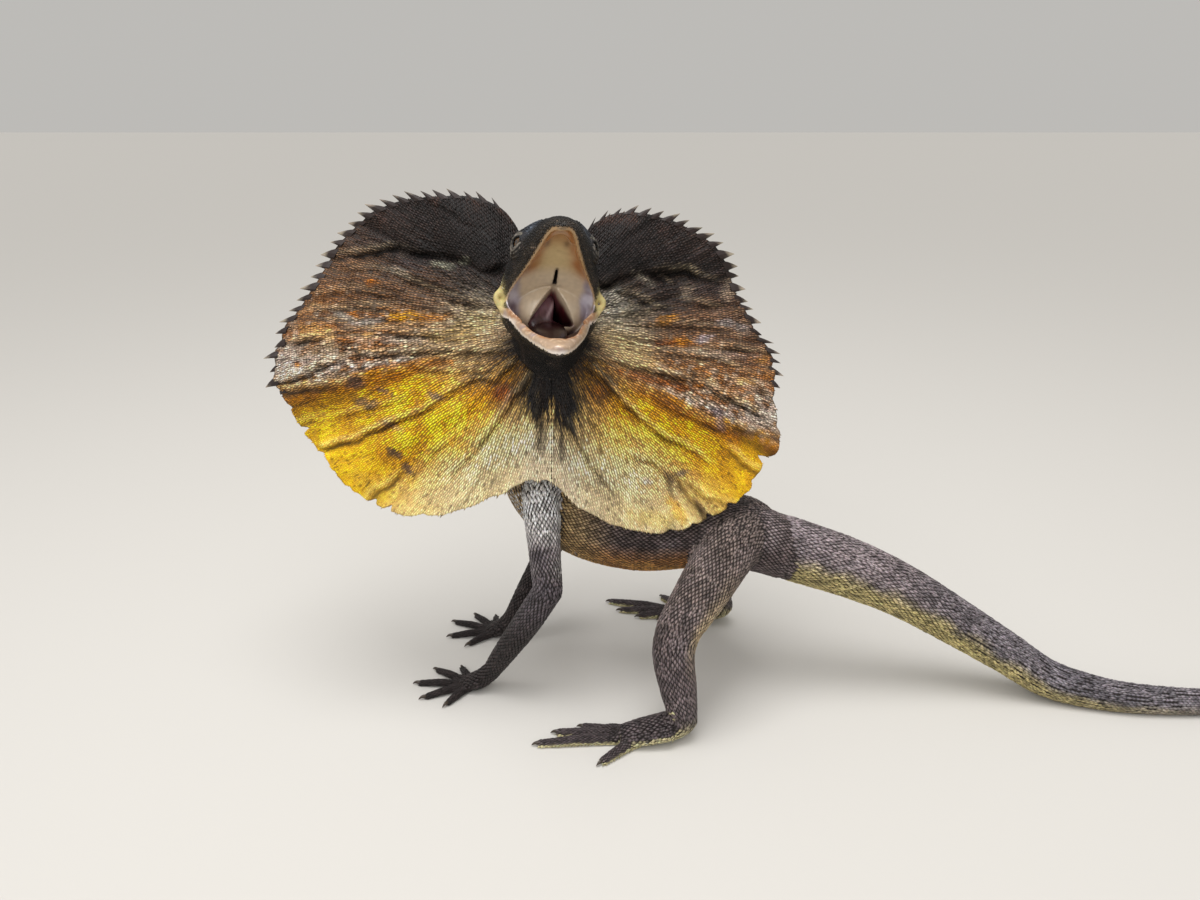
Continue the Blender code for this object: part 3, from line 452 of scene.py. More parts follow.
palate = [
    (-6, 13, 5, 16, 0), (3, 20, 6, 16, 0), (12, 20.2, 7, 15, 0), (22, 16.8, 7.5, 14, 0),
    (31, 13.2, 7, 13, 0), (39, 10.2, 6, 12, 0), (46, 7.9, 5, 11, 0), (52, 6.1, 4, 10, 0),
    (56.5, 4.0, 2.6, 10, 0), (58, 1.8, 1.4, 8, 0),
]
mouthFloor = [
    (-6, 12, 15, 6, 0), (3, 16.0, 14, 7.5, 0), (12, 15.4, 13, 7.5, 0), (22, 13.3, 12, 6.8, 0),
    (31, 11.0, 11, 5.4, 0), (37, 9.0, 10, 3.8, 0), (43, 6.0, 9, 2.4, 0), (47, 2.8, 8, 1.2, 0),
]
mouth = {
    "cheek": ((3, 0), (23.6, 15.0, 18.0)), "gullet": ((6, -9), (18.0, 20.0, 9.0)),
    # throat: side, forward and up of its apex and its two lower corners, on the line between the jaws
    "throatTop": (1.6, 8.5, 17.0), "throatLeft": (-15.6, 7.0, -9.5), "throatRight": (16.6, 7.0, -8.6),
    "throatBack": -13.0, "curtain": ((0.8, -7.0, 2.5), (20.0, 15.5, 17.5)),
    "cleft": ((1.6, 10.6, 16.4), (0.8, 9.0, 5.2)),
    "grain": 0.55, "softening": 14, "hollowGrain": 0.7, "throatGrain": 0.9,
}
eye = {
    "forward": 33.0, "up": 12.4, "side": 14.2, "radius": 4.9, "lid": 5.7, "opening": (2.8, 1.9),
    # rings of the lids: radius, how far out they stand, half thickness
    "rings": [(3.4, 4.5, 0.62), (4.6, 4.2, 0.7), (5.9, 3.4, 0.78), (7.2, 2.3, 0.8)],
}
nostril = {"forward": 53.0, "up": 9.2, "side": 7.4, "radius": 1.2}
ear = {"forward": 1.0, "up": 9.0, "side": 24.5, "size": (2.1, 3.4, 4.0)}


def jawAxes(rise):
    turn, roll, rise = (math.radians(v) for v in (headPose["turn"], headPose["roll"], rise))
    levelSide = np.array((math.cos(turn), math.sin(turn), 0.0))
    ahead = np.array((math.sin(turn), -math.cos(turn), 0.0))
    crown = np.array((0.0, 0.0, 1.0)) * math.cos(roll) + levelSide * math.sin(roll)
    forward = ahead * math.cos(rise) + crown * math.sin(rise)
    up = crown * math.cos(rise) - ahead * math.sin(rise)
    return np.cross(up, forward), forward, up


hinge = np.array(headPose["hinge"]) * mm
skullAxes = jawAxes(headPose["skullRise"])
lowerAxes = jawAxes(headPose["jawRise"])
mouthAxes = jawAxes((headPose["skullRise"] + headPose["jawRise"]) / 2)


def onHead(axes, side, forward, up):
    return hinge + (axes[0] * side + axes[1] * forward + axes[2] * up) * mm


def headPlace(axes, points):
    # side, forward and up in mm of points in the model's own frame
    offset = (np.asarray(points) - poseShift - hinge) / mm
    return offset @ axes[0], offset @ axes[1], offset @ axes[2]


def jawLoft(bm, rows, axes):
    side, forward, up = (Vector(a) for a in axes)
    sections = []
    for reach, halfWidth, above, below, level in smoothRows(rows, 4):
        centre = Vector(hinge) + (forward * reach + up * level) * mm
        sections.append((centre, side, up, halfWidth * mm, above * mm, below * mm))
    loft(bm, sections, 40)


def mouthRow(side, forward, up, width, height):
    return (*(onHead(mouthAxes, side, forward, up) / mm), width, height)


def eyeOut(hand):
    return unit(skullAxes[0] * hand * 0.84 + skullAxes[1] * 0.53 - skullAxes[2] * 0.06)


def addLids(bm):
    # the swelling of the lids round each eye, the ridge from the brow to the snout and the skin at the
    # corner of the mouth
    for hand in (-1, 1):
        centre = onHead(skullAxes, eye["side"] * hand, eye["forward"], eye["up"])
        ellipsoid(bm, centre, skullAxes, (eye["lid"], eye["lid"] * 1.08, eye["lid"] * 0.96), 28)
        ridge = [(15.6, 12, 20.0, 2.0), (17.0, 22, 20.6, 2.8), (16.4, 31, 18.6, 2.6), (12.6, 41, 14.6, 2.2),
                 (9.0, 49, 10.8, 1.8), (6.8, 55, 7.2, 1.1)]
        sweep(bm, [(*(onHead(skullAxes, s * hand, f, u) / mm), r, r) for s, f, u, r in ridge], 4, 16)
        flap = [(21.6, 3, 13.5, 1.2), (23.4, 4, 9.5, 1.7), (26.2, 4.8, 5.6, 1.6), (23.6, 4.2, 1.4, 1.7),
                (21.6, 4, -2.4, 1.2)]
        sweep(bm, [mouthRow(s * hand, f, u, r, r) for s, f, u, r in flap], 4, 16)


def makeEyelids():
    # folded rings of skin round each eye, with a painted highlight along their crests
    bm = bmesh.new()
    for hand in (-1, 1):
        centre = onHead(skullAxes, eye["side"] * hand, eye["forward"], eye["up"])
        out = eyeOut(hand)
        along = unit(skullAxes[1] - out * (skullAxes[1] @ out))
        across = np.cross(out, along)
        for radius, rise, thick in eye["rings"]:
            turns = np.linspace(0, 2 * math.pi, 33)
            ring = [(*((centre + (along * math.cos(t) * 1.1 + across * math.sin(t) * 0.84) * radius * mm
                        + out * (rise - 0.5 * math.cos(2 * t)) * mm) / mm), thick, thick) for t in turns]
            sweep(bm, ring, 1, 10)
    lids = fuse(meshPiece(bm, "eyelids"), 0.36 * mm, 2)
    points, normals = corners(lids.data) + poseShift, vertexNormals(lids.data)
    setCorners(lids.data, points)
    hand = np.sign(headPlace(skullAxes, points)[0])
    facing = np.where(hand > 0, normals @ eyeOut(1), normals @ eyeOut(-1))
    tint = np.tile(toLinear("15110f"), (len(points), 1))
    # painted highlight on the crests, where the rings face out from the eye
    tint = paint(tint, "7d766c", ease(0.8, 0.97, facing) * np.clip(0.5 + cloud(points, 0.0012), 0, 1))
    setTint(lids.data, tint)
    lids.data.materials.append(headHide)
    lids.data.shade_smooth()
    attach(lids, "root")


def throatCutter():
    # a funnel with a three-cornered mouth between the two folds at the back of the palate
    top, left, right = (np.array(mouth[key]) for key in ("throatTop", "throatLeft", "throatRight"))
    bm = bmesh.new()
    middle = (top + left + right) / 3
    rings = []
    for share in (0.0, 0.35, 1.0):
        ring = bmesh.ops.create_circle(bm, segments=36, radius=1.0)["verts"]
        for i, vert in enumerate(ring):
            turn = 3 * i / 36
            start, end = [(top, left), (left, right), (right, top)][int(turn)]
            place = start + (end - start) * (turn - int(turn))
            place = middle + (place - middle) * (1.0 - 0.75 * share**2)
            place[1] = place[1] + 14 - (place[1] + 14 - mouth["throatBack"]) * share
            vert.co = Vector(onHead(mouthAxes, *place))
        rings.append(ring)
    loops = [list({e for v in ring for e in v.link_edges}) for ring in rings]
    for first, second in zip(loops, loops[1:]):
        bmesh.ops.bridge_loops(bm, edges=first + second)
    bmesh.ops.contextual_create(bm, geom=rings[0])
    bmesh.ops.contextual_create(bm, geom=rings[-1])
    return fuse(meshPiece(bm, "throatCutter"), mouth["throatGrain"] * mm, 4)


def makeHeadSkin():
    bm = bmesh.new()
    jawLoft(bm, skull, skullAxes)
    jawLoft(bm, jaw, lowerAxes)
    sweep(bm, nape, 6)
    for (forward, up), size in (mouth["cheek"], mouth["gullet"]):
        ellipsoid(bm, onHead(mouthAxes, 0, forward, up), mouthAxes, size, 36)
    addLids(bm)
    skin = fuse(meshPiece(bm, "headSkin"), mouth["grain"] * mm, mouth["softening"])

    hollow = bmesh.new()
    jawLoft(hollow, palate, skullAxes)
    jawLoft(hollow, mouthFloor, lowerAxes)
    hollow = fuse(meshPiece(hollow, "mouthHollow"), mouth["hollowGrain"] * mm, 8)
    lining = surfaceTree(hollow)
    carve(skin, hollow)

    bm = bmesh.new()
    bm.from_mesh(skin.data)
    old = skin.data
    addMouthFolds(bm)
    bm.to_mesh(old)
    bm.free()
    fuse(skin, mouth["grain"] * mm, 3)
    carve(skin, throatCutter())
    bm = bmesh.new()
    ellipsoid(bm, onHead(mouthAxes, *mouth["cleft"][0]), mouthAxes, mouth["cleft"][1], 24)
    carve(skin, meshPiece(bm, "cleft"))
    for cutter in headPits():
        carve(skin, cutter)
    fuse(skin, mouth["grain"] * mm, 2)
    points = corners(skin.data)
    depth = np.empty(len(points))
    for i, point in enumerate(points):
        near, normal, _, far = lining.find_nearest(Vector(point))
        depth[i] = far / mm * (1 if (Vector(point) - near).dot(normal) > 0 else -1)
    # everything in or behind the curtain counts as the inside of the mouth
    side, forward, up = headPlace(mouthAxes, points + poseShift)
    (s, f, u), (a, b, c) = mouth["curtain"]
    within = np.sqrt(((side - s) / a) ** 2 + ((forward - f) / b) ** 2 + ((up - u) / c) ** 2)
    depth = np.where(within < 1.12, np.minimum(depth, (within - 1.05) * 12), depth)
    setCorners(skin.data, points + poseShift)
    return skin, depth


def addMouthFolds(bm):
    # the soft curtain at the back of the mouth, in which the throat opens, and ridges on the palate
    centre, size = mouth["curtain"]
    ellipsoid(bm, onHead(mouthAxes, *centre), mouthAxes, size, 40)
    for hand in (-1, 1):
        roof = [(4.2, 22, 8.2, 1.1), (4.0, 29, 8.6, 1.1), (3.0, 38, 7.8, 1.0), (1.8, 46, 6.2, 0.8)]
        sweep(bm, [(*(onHead(skullAxes, s * hand, f, u) / mm), r, r) for s, f, u, r in roof], 4, 16)
    arch = [(s, 52.5 - s * s * 0.16, 2.9, 0.8) for s in (-6, -4, -2, 0, 2, 4, 6)]
    sweep(bm, [(*(onHead(skullAxes, s, f, u) / mm), r, r) for s, f, u, r in arch], 3, 12)


def headPits():
    cutters = []
    for hand in (-1, 1):
        centre = onHead(skullAxes, eye["side"] * hand, eye["forward"], eye["up"])
        bm = bmesh.new()
        ellipsoid(bm, centre, skullAxes, (eye["radius"] + 0.25,) * 3, 28)
        cutters.append(meshPiece(bm, "socket"))
        out = eyeOut(hand)
        along = unit(skullAxes[1] - out * (skullAxes[1] @ out))
        across = np.cross(out, along)
        bm = bmesh.new()
        ellipsoid(bm, centre + out * 6 * mm, (along, across, out), (*eye["opening"], 6), 28)
        cutters.append(meshPiece(bm, "lidOpening"))
        bm = bmesh.new()
        place = onHead(skullAxes, nostril["side"] * hand, nostril["forward"], nostril["up"])
        ellipsoid(bm, place, skullAxes, (nostril["radius"],) * 3, 16)
        cutters.append(meshPiece(bm, "nostril"))
        bm = bmesh.new()
        place = onHead(skullAxes, ear["side"] * hand, ear["forward"], ear["up"])
        ellipsoid(bm, place, skullAxes, ear["size"], 20)
        cutters.append(meshPiece(bm, "earCup"))
    return cutters


headSkin, liningDepth = makeHeadSkin()
print("stage: head skin", len(headSkin.data.polygons))


# Frill: outline as angle from straight down and reach in mm, folds as angle at the root and at the rim,
# lift, width below and above in degrees, and the share of the reach where each starts

frill = {
    "centre": (-24.6, -13.7, 204.3), "rise": 20.0, "turn": 4.0, "root": 13.0, "thick": 1.0, "last": 162.0,
    "columns": 320, "rows": 92, "field": (521, 181),
}
outline = {
    "frillRight": [
        (0, 80), (8, 80), (20, 94), (30, 111), (40, 124), (50, 131), (60, 133), (70, 138), (78, 141),
        (83, 139), (87, 136.5), (90, 133.5), (94, 127.8), (101, 120.7), (109, 118.3), (115, 114.3),
        (121, 109.6), (127, 102.2), (133, 93.8), (139, 85), (146, 78), (153, 70), (158, 61.5), (162, 47),
    ],
    "frillLeft": [
        (0, 80), (8, 93), (20, 110), (30, 122), (40, 128), (50, 132.5), (55, 130.5), (58, 130.5),
        (61, 133.8), (64, 131), (67, 126), (74, 119.3), (80, 118), (84, 114.5), (90, 105.8), (96, 101.4),
        (101, 98.6), (110, 97.6), (117, 94.8), (124, 88.5), (130, 83.7), (138, 76.3), (146, 70),
        (153, 63), (158, 55), (162, 46),
    ],
}
lean = [(0, 0.05), (30, 0.05), (60, 0.09), (90, 0.13), (120, 0.12), (156, 0.08), (162, 0.08)]
folds = {
    "frillRight": [
        (70, 77, 9.0, 3.5, 24, 0.12), (33, 58, 4.0, 4.0, 7, 0.20), (22, 27, 2.4, 5.0, 5, 0.25),
        (62, 68, 2.2, 2.2, 3, 0.62), (44, 44, -3.0, 3.0, 3, 0.62), (48, 51, 1.6, 2.5, 3, 0.66),
        (36, 37, 1.6, 3.0, 3, 0.66), (142, 115, -5.0, 9.0, 8, 0.10), (150, 138, 3.5, 14, 14, 0.15),
        (90, 96, -2.5, 5.0, 5, 0.35), (0, 0, -2.5, 5.0, 5, 0.05),
    ],
    "frillLeft": [
        (50, 64, 8.5, 3.5, 24, 0.12), (41, 48, 3.6, 4.0, 6, 0.20), (13, 22, 3.2, 4.0, 6, 0.20),
        (36, 38, -3.2, 2.4, 2.4, 0.55), (34, 34.5, 2.2, 2.0, 2.0, 0.60), (43, 43, 2.0, 2.2, 2.2, 0.62),
        (56, 56.5, 2.6, 2.2, 3, 0.60), (60, 60, -1.8, 1.8, 1.8, 0.66), (140, 106, -5.0, 9.0, 8, 0.10),
        (150, 136, 3.2, 14, 14, 0.15), (84, 84, -2.2, 5.0, 5, 0.40), (0, 0, -2.5, 5.0, 5, 0.05),
    ],
}
stepRidge = {"frillRight": (70, 77), "frillLeft": (50, 64)}
frillRise = math.radians(frill["rise"])
frillFacing = np.array((0.0, -math.cos(frillRise), math.sin(frillRise)))
frillUp = np.array((0.0, math.sin(frillRise), math.cos(frillRise)))
# wrinkles of the stretched skin: points outwards and up in mm from the middle of the frill, height of the
# ridge, how far it slopes away above, depth of the trough just below, and how far each end fades as a share
wrinkles = {
    "frillRight": [
        ([(11, -11), (27, -13), (66, -13), (97, -15), (110, -19), (124, -26), (142, -29)],
         2.6, 7, 1.6, 0.1, 0.02),
        ([(103, -29), (110, -30), (118, -31), (141, -33)], 2.4, 2.5, 1.6, 0.3, 0.02),
        ([(16, -16), (28, -27), (36, -26), (46, -30), (63, -42), (78, -48), (97, -56), (117, -62)],
         2.2, 6, 1.8, 0.05, 0.02),
        ([(88, -64), (95, -67), (102, -68), (112, -70)], -1.6, 4, 0.6, 0.3, 0.05),
        ([(72, -70), (78, -76), (88, -83), (96, -90)], 1.6, 3, 1.5, 0.3, 0.02),
        ([(8, -22), (21, -38), (27, -48), (35, -58), (42, -66), (49, -73), (56, -84)],
         1.9, 6, 1.5, 0.05, 0.2),
        ([(5, -30), (7, -48), (7, -57), (8, -70)], 0.3, 4, 1.3, 0.1, 0.3),
        ([(77, -14), (63, -22), (50, -23), (38, -23), (24, -22)], 1.2, 4, 1.1, 0.2, 0.1),
        ([(22, 30), (34, 29), (39, 32), (52, 37), (68, 39), (77, 41), (99, 38), (118, 36)],
         3.0, 14, 3.2, 0.05, 0.25),
        ([(30, 9), (46, 14), (58, 17), (77, 26), (92, 29), (108, 30)], 1.5, 6, 1.5, 0.15, 0.3),
        ([(62, 15), (56, 11), (48, 6), (36, -3)], 1.0, 3, 0.8, 0.3, 0.2),
        ([(41, -7), (67, -5), (89, -2), (102, -3), (118, -6), (136, -12)], 1.9, 5, 1.5, 0.15, 0.1),
        ([(66, 4), (80, 8), (98, 10), (116, 8), (132, 4)], 1.2, 4, 1.0, 0.3, 0.2),
        ([(74, 14), (90, 17), (108, 18), (124, 14)], 1.1, 4, 1.0, 0.3, 0.3),
        ([(44, -52), (60, -64), (74, -80), (82, -92)], 0.9, 4, 0.8, 0.3, 0.1),
        ([(64, -33), (84, -40), (108, -46), (132, -49)], 0.9, 4, 0.8, 0.3, 0.05),
        ([(30, -68), (42, -84), (52, -98)], 0.8, 5, 0.6, 0.3, 0.2),
        ([(88, -20), (108, -25), (130, -31)], 0.8, 3, 0.7, 0.3, 0.2),
        ([(30, 45), (52, 58), (74, 70)], 0.9, 9, 0.6, 0.3, 0.3),
    ],
    "frillLeft": [
        ([(12, -12), (25, -17), (39, -19), (63, -25), (78, -29), (86, -33), (100, -40), (119, -55)],
         2.6, 8, 1.8, 0.1, 0.02),
        ([(50, -12), (72, -14), (87, -15), (95, -21), (104, -28), (114, -40)], 1.6, 4, 1.4, 0.2, 0.1),
        ([(74, -11), (93, -9), (110, -12)], 1.4, 3, 1.0, 0.3, 0.2),
        ([(18, -19), (28, -27), (35, -36), (42, -43), (51, -51), (60, -57), (74, -63), (86, -74)],
         2.4, 6, 2.0, 0.05, 0.15),
        ([(7, -46), (15, -59), (21, -69), (28, -78), (36, -87)], 1.7, 6, 1.4, 0.1, 0.15),
        ([(34, -66), (45, -67), (51, -68), (57, -73), (61, -78), (63, -85), (68, -96), (74, -104)],
         1.8, 5, 1.6, 0.2, 0.02),
        ([(62, -72), (70, -85), (76, -91), (81, -99)], 1.8, 2.6, 1.8, 0.2, 0.02),
        ([(66, -76), (78, -86), (87, -89), (97, -92)], 1.5, 3, 1.3, 0.2, 0.02),
        ([(88, -59), (92, -62), (100, -69), (111, -76)], 2.0, 3, 1.0, 0.3, 0.02),
        ([(88, -47), (97, -50), (109, -54), (121, -57)], 1.9, 3, 1.6, 0.3, 0.02),
        ([(14, -76), (19, -81), (28, -86), (40, -90)], -0.8, 5, 1.5, 0.2, 0.3),
        ([(22, 20), (37, 27), (46, 30), (60, 31), (71, 31), (78, 28), (92, 24)],
         3.0, 14, 3.2, 0.05, 0.25),
        ([(52, 32), (59, 25), (63, 21)], 0.8, 3, 1.6, 0.2, 0.3),
        ([(30, 20), (41, 17), (52, 11), (66, 8)], 1.6, 6, 1.5, 0.2, 0.3),
        ([(60, 16), (76, 14), (92, 10)], 1.2, 5, 1.1, 0.3, 0.3),
        ([(48, 1), (64, 2), (82, 1), (98, -3)], 1.3, 5, 1.2, 0.3, 0.2),
        ([(30, -3), (44, -6), (58, -8), (74, -6)], 1.0, 4, 0.9, 0.3, 0.3),
        ([(44, -32), (60, -40), (76, -48), (92, -52)], 1.0, 4, 0.9, 0.3, 0.2),
        ([(28, -44), (42, -58), (54, -64)], 0.7, 4, 0.7, 0.3, 0.3),
        ([(30, 40), (48, 54), (66, 64)], 0.9, 9, 0.6, 0.3, 0.3),
    ],
}
# torn places in the rim: angle, depth and half width in mm
notches = {
    "frillRight": [
        (67, 4.5, 1.6), (45.3, 3.8, 2.0), (41.5, 4.5, 1.8), (76, 1.8, 2.4), (72.5, 1.5, 1.5),
        (60.5, 1.6, 2.0), (55.5, 1.3, 1.8), (51, 1.5, 2.2), (34, 1.2, 2.2), (86, 1.6, 3.0),
        (92, 1.3, 3.0),
    ],
    "frillLeft": [
        (58.2, 5.0, 2.4), (45, 3.2, 2.4), (39.8, 3.4, 1.7), (52.5, 1.4, 2.0), (66, 1.6, 2.2),
        (72, 1.4, 3.0), (80, 1.6, 3.0), (30, 1.2, 2.4), (35.5, 1.5, 1.8), (89, 1.2, 3.0),
    ],
}
# painter's marks, among them painted shade in valleys and painted highlight on lumps: outwards and up in
# mm, half length and half width, turn of the length in degrees, colour and strength
marks = {
    "frillRight": [
        (99, -29, 6.5, 3.4, -10, "54403c", 0.85), (93, -39, 8.0, 3.6, 14, "54403c", 0.85),
        (84, -33.5, 5, 1.5, 24, "6b5650", 0.8), (78, -65, 5.0, 2.4, 28, "54403c", 0.85),
        (73, -72, 4.8, 2.2, 50, "54403c", 0.85), (58, -36, 5.2, 2.2, 24, "5f5452", 0.8),
        (80, -85, 0.9, 0.9, 0, "2f2018", 0.8), (76, -83, 2.2, 0.6, 45, "2f2018", 0.8),
        (56, -76, 1.2, 1.0, 0, "5a4632", 0.7), (80, -51, 7, 1.6, 22, "a07a6a", 0.6),
        # the dark brown band at (60, 20) is painted shade in the valley below the pale lumps
        (24, -35, 6, 5, 50, "8a4616", 0.7), (60, 20, 24, 3.6, 24, "3c2a20", 0.6),
        (100, 5, 5, 2.4, 0, "b8701c", 0.8), (90, 21, 4, 2, 0, "b0681f", 0.7),
        (73, 4, 9, 3.4, 0, "c08622", 0.8), (60, 3, 8, 3, -10, "b8741f", 0.6),
        # the pale grey-green lumps at (54, 30), (45, 32) and (77, 27): their own pale colour with a painted
        # highlight on their tops
        (112, 14, 8, 4, -60, "84552f", 0.6), (54, 30, 6, 2.4, 10, "8d8a78", 0.7),
        (45, 32, 4, 2, 0, "8d8a78", 0.7), (77, 27, 7, 2, 20, "9a8d7c", 0.6),
        (92, 1, 9, 1.6, -8, "c9bdb0", 0.8), (104, 4, 8, 1.8, 20, "cbbfae", 0.7),
        (72, -8, 14, 2.4, 0, "c4b6a6", 0.6), (120, -4, 8, 5, -20, "b98a52", 0.7),
        (38, 0, 14, 6, -16, "c9b07e", 0.7), (52, -6, 14, 4, -4, "c2a066", 0.6),
        (66, -20, 20, 3, -4, "a25f16", 0.6), (110, -38, 12, 5, -6, "d59f2c", 0.6),
        (46, -60, 14, 5, 46, "d3a43c", 0.4), (95, -78, 10, 4, 40, "e2b848", 0.6),
    ],
    "frillLeft": [
        (84, -44, 4.5, 2.4, -20, "6a5a5e", 0.8), (86, -50, 4.2, 2.2, -60, "7a6a6e", 0.7),
        (77, -44, 5.5, 3, -20, "6a4420", 0.7), (66, -75, 3.6, 2.2, 10, "57504c", 0.8),
        (60, -77, 4.6, 1.7, -45, "4a3428", 0.85), (76, -92, 5.5, 1.4, -55, "4a3428", 0.85),
        (18, -90, 1.3, 0.6, -20, "2f2018", 0.8), (30, -94, 1.8, 0.6, -35, "2f2018", 0.8),
        # the dark brown band at (50, 15) is painted shade in the valley below the pale lump
        (48, -79, 3, 1.8, 0, "e6dcd0", 0.7), (50, 15, 17, 6, -14, "33251c", 0.65),
        (66, -8, 9, 3, -4, "b8741c", 0.85), (58, 3, 8, 2.6, 20, "b47a2c", 0.7),
        (58, -8, 6, 2.4, 0, "7c3c12", 0.7), (90, 3, 6, 2.6, 0, "a79c98", 0.7),
        (78, -6, 6, 2.4, 20, "b0a4a8", 0.7), (98, 0, 5, 3, 0, "a09690", 0.6),
        # the pale grey-green lump at (48, 24): its own pale colour with a painted highlight on its top
        (48, 24, 8, 2.4, -30, "94897a", 0.7), (36, -10, 15, 7, -24, "cbb084", 0.75),
        (30, 12, 8, 9, 90, "a8a296", 0.6), (84, -14, 16, 2.6, -6, "b09a8c", 0.6),
        (52, -28, 22, 3, -14, "84420f", 0.7), (60, -40, 16, 6, -30, "a8661c", 0.5),
        (104, -62, 8, 5, -30, "dfae34", 0.6), (102, -78, 7, 4, 60, "d89c1c", 0.6),
        (64, -94, 9, 3, -60, "d99c22", 0.6), (30, -60, 16, 7, -50, "c9a24c", 0.4),
        (52, -98, 16, 5, -10, "dcc06c", 0.5),
    ],
}


def fromLine(points, x, y):
    # signed distance in mm from a line of points, above it positive, and the share of the line there
    points = np.array(points, float)
    lengths = np.linalg.norm(np.diff(points, axis=0), axis=1)
    gone = np.r_[0, np.cumsum(lengths)]
    best = np.full(x.shape, 1e9)
    signed, share = np.zeros(x.shape), np.zeros(x.shape)
    for i, length in enumerate(lengths):
        ahead = (points[i + 1] - points[i]) / length
        dx, dy = x - points[i, 0], y - points[i, 1]
        run = np.clip(dx * ahead[0] + dy * ahead[1], 0, length)
        offX, offY = dx - run * ahead[0], dy - run * ahead[1]
        far = offX**2 + offY**2
        near = far < best
        best = np.where(near, far, best)
        side = np.sign(ahead[0] * dy - ahead[1] * dx) * (1 if points[-1, 0] > points[0, 0] else -1)
        signed = np.where(near, np.sqrt(far) * side, signed)
        share = np.where(near, (gone[i] + run) / gone[-1], share)
    return signed, share


def rimReach(name, angle):
    # the outline with its torn places and a finely serrated edge
    angle = np.asarray(angle, float)
    rim = readProfile(outline[name], angle)
    for place, depth, half in notches[name]:
        rim = rim - depth * np.maximum(0, 1 - np.abs(np.radians(angle - place)) * rim / half) ** 0.8
    along = np.c_[np.radians(angle) * 16, np.zeros((angle.size, 2))]
    wave = cloud(along, 1.0, 2.0 if name == "frillLeft" else 7.0)
    return rim + wave * 1.3 * (1 - ease(80, 100, angle)) - 0.5


def crustAmount(name, angle, share):
    # how far the skin is gathered into a crust above the step ridge
    crest = stepRidge[name][0] + (stepRidge[name][1] - stepRidge[name][0]) * share**0.6
    return ease(-3, 1.5, angle - crest) * (1 - ease(6, 15, angle - crest)) * ease(0.25, 0.6, share)


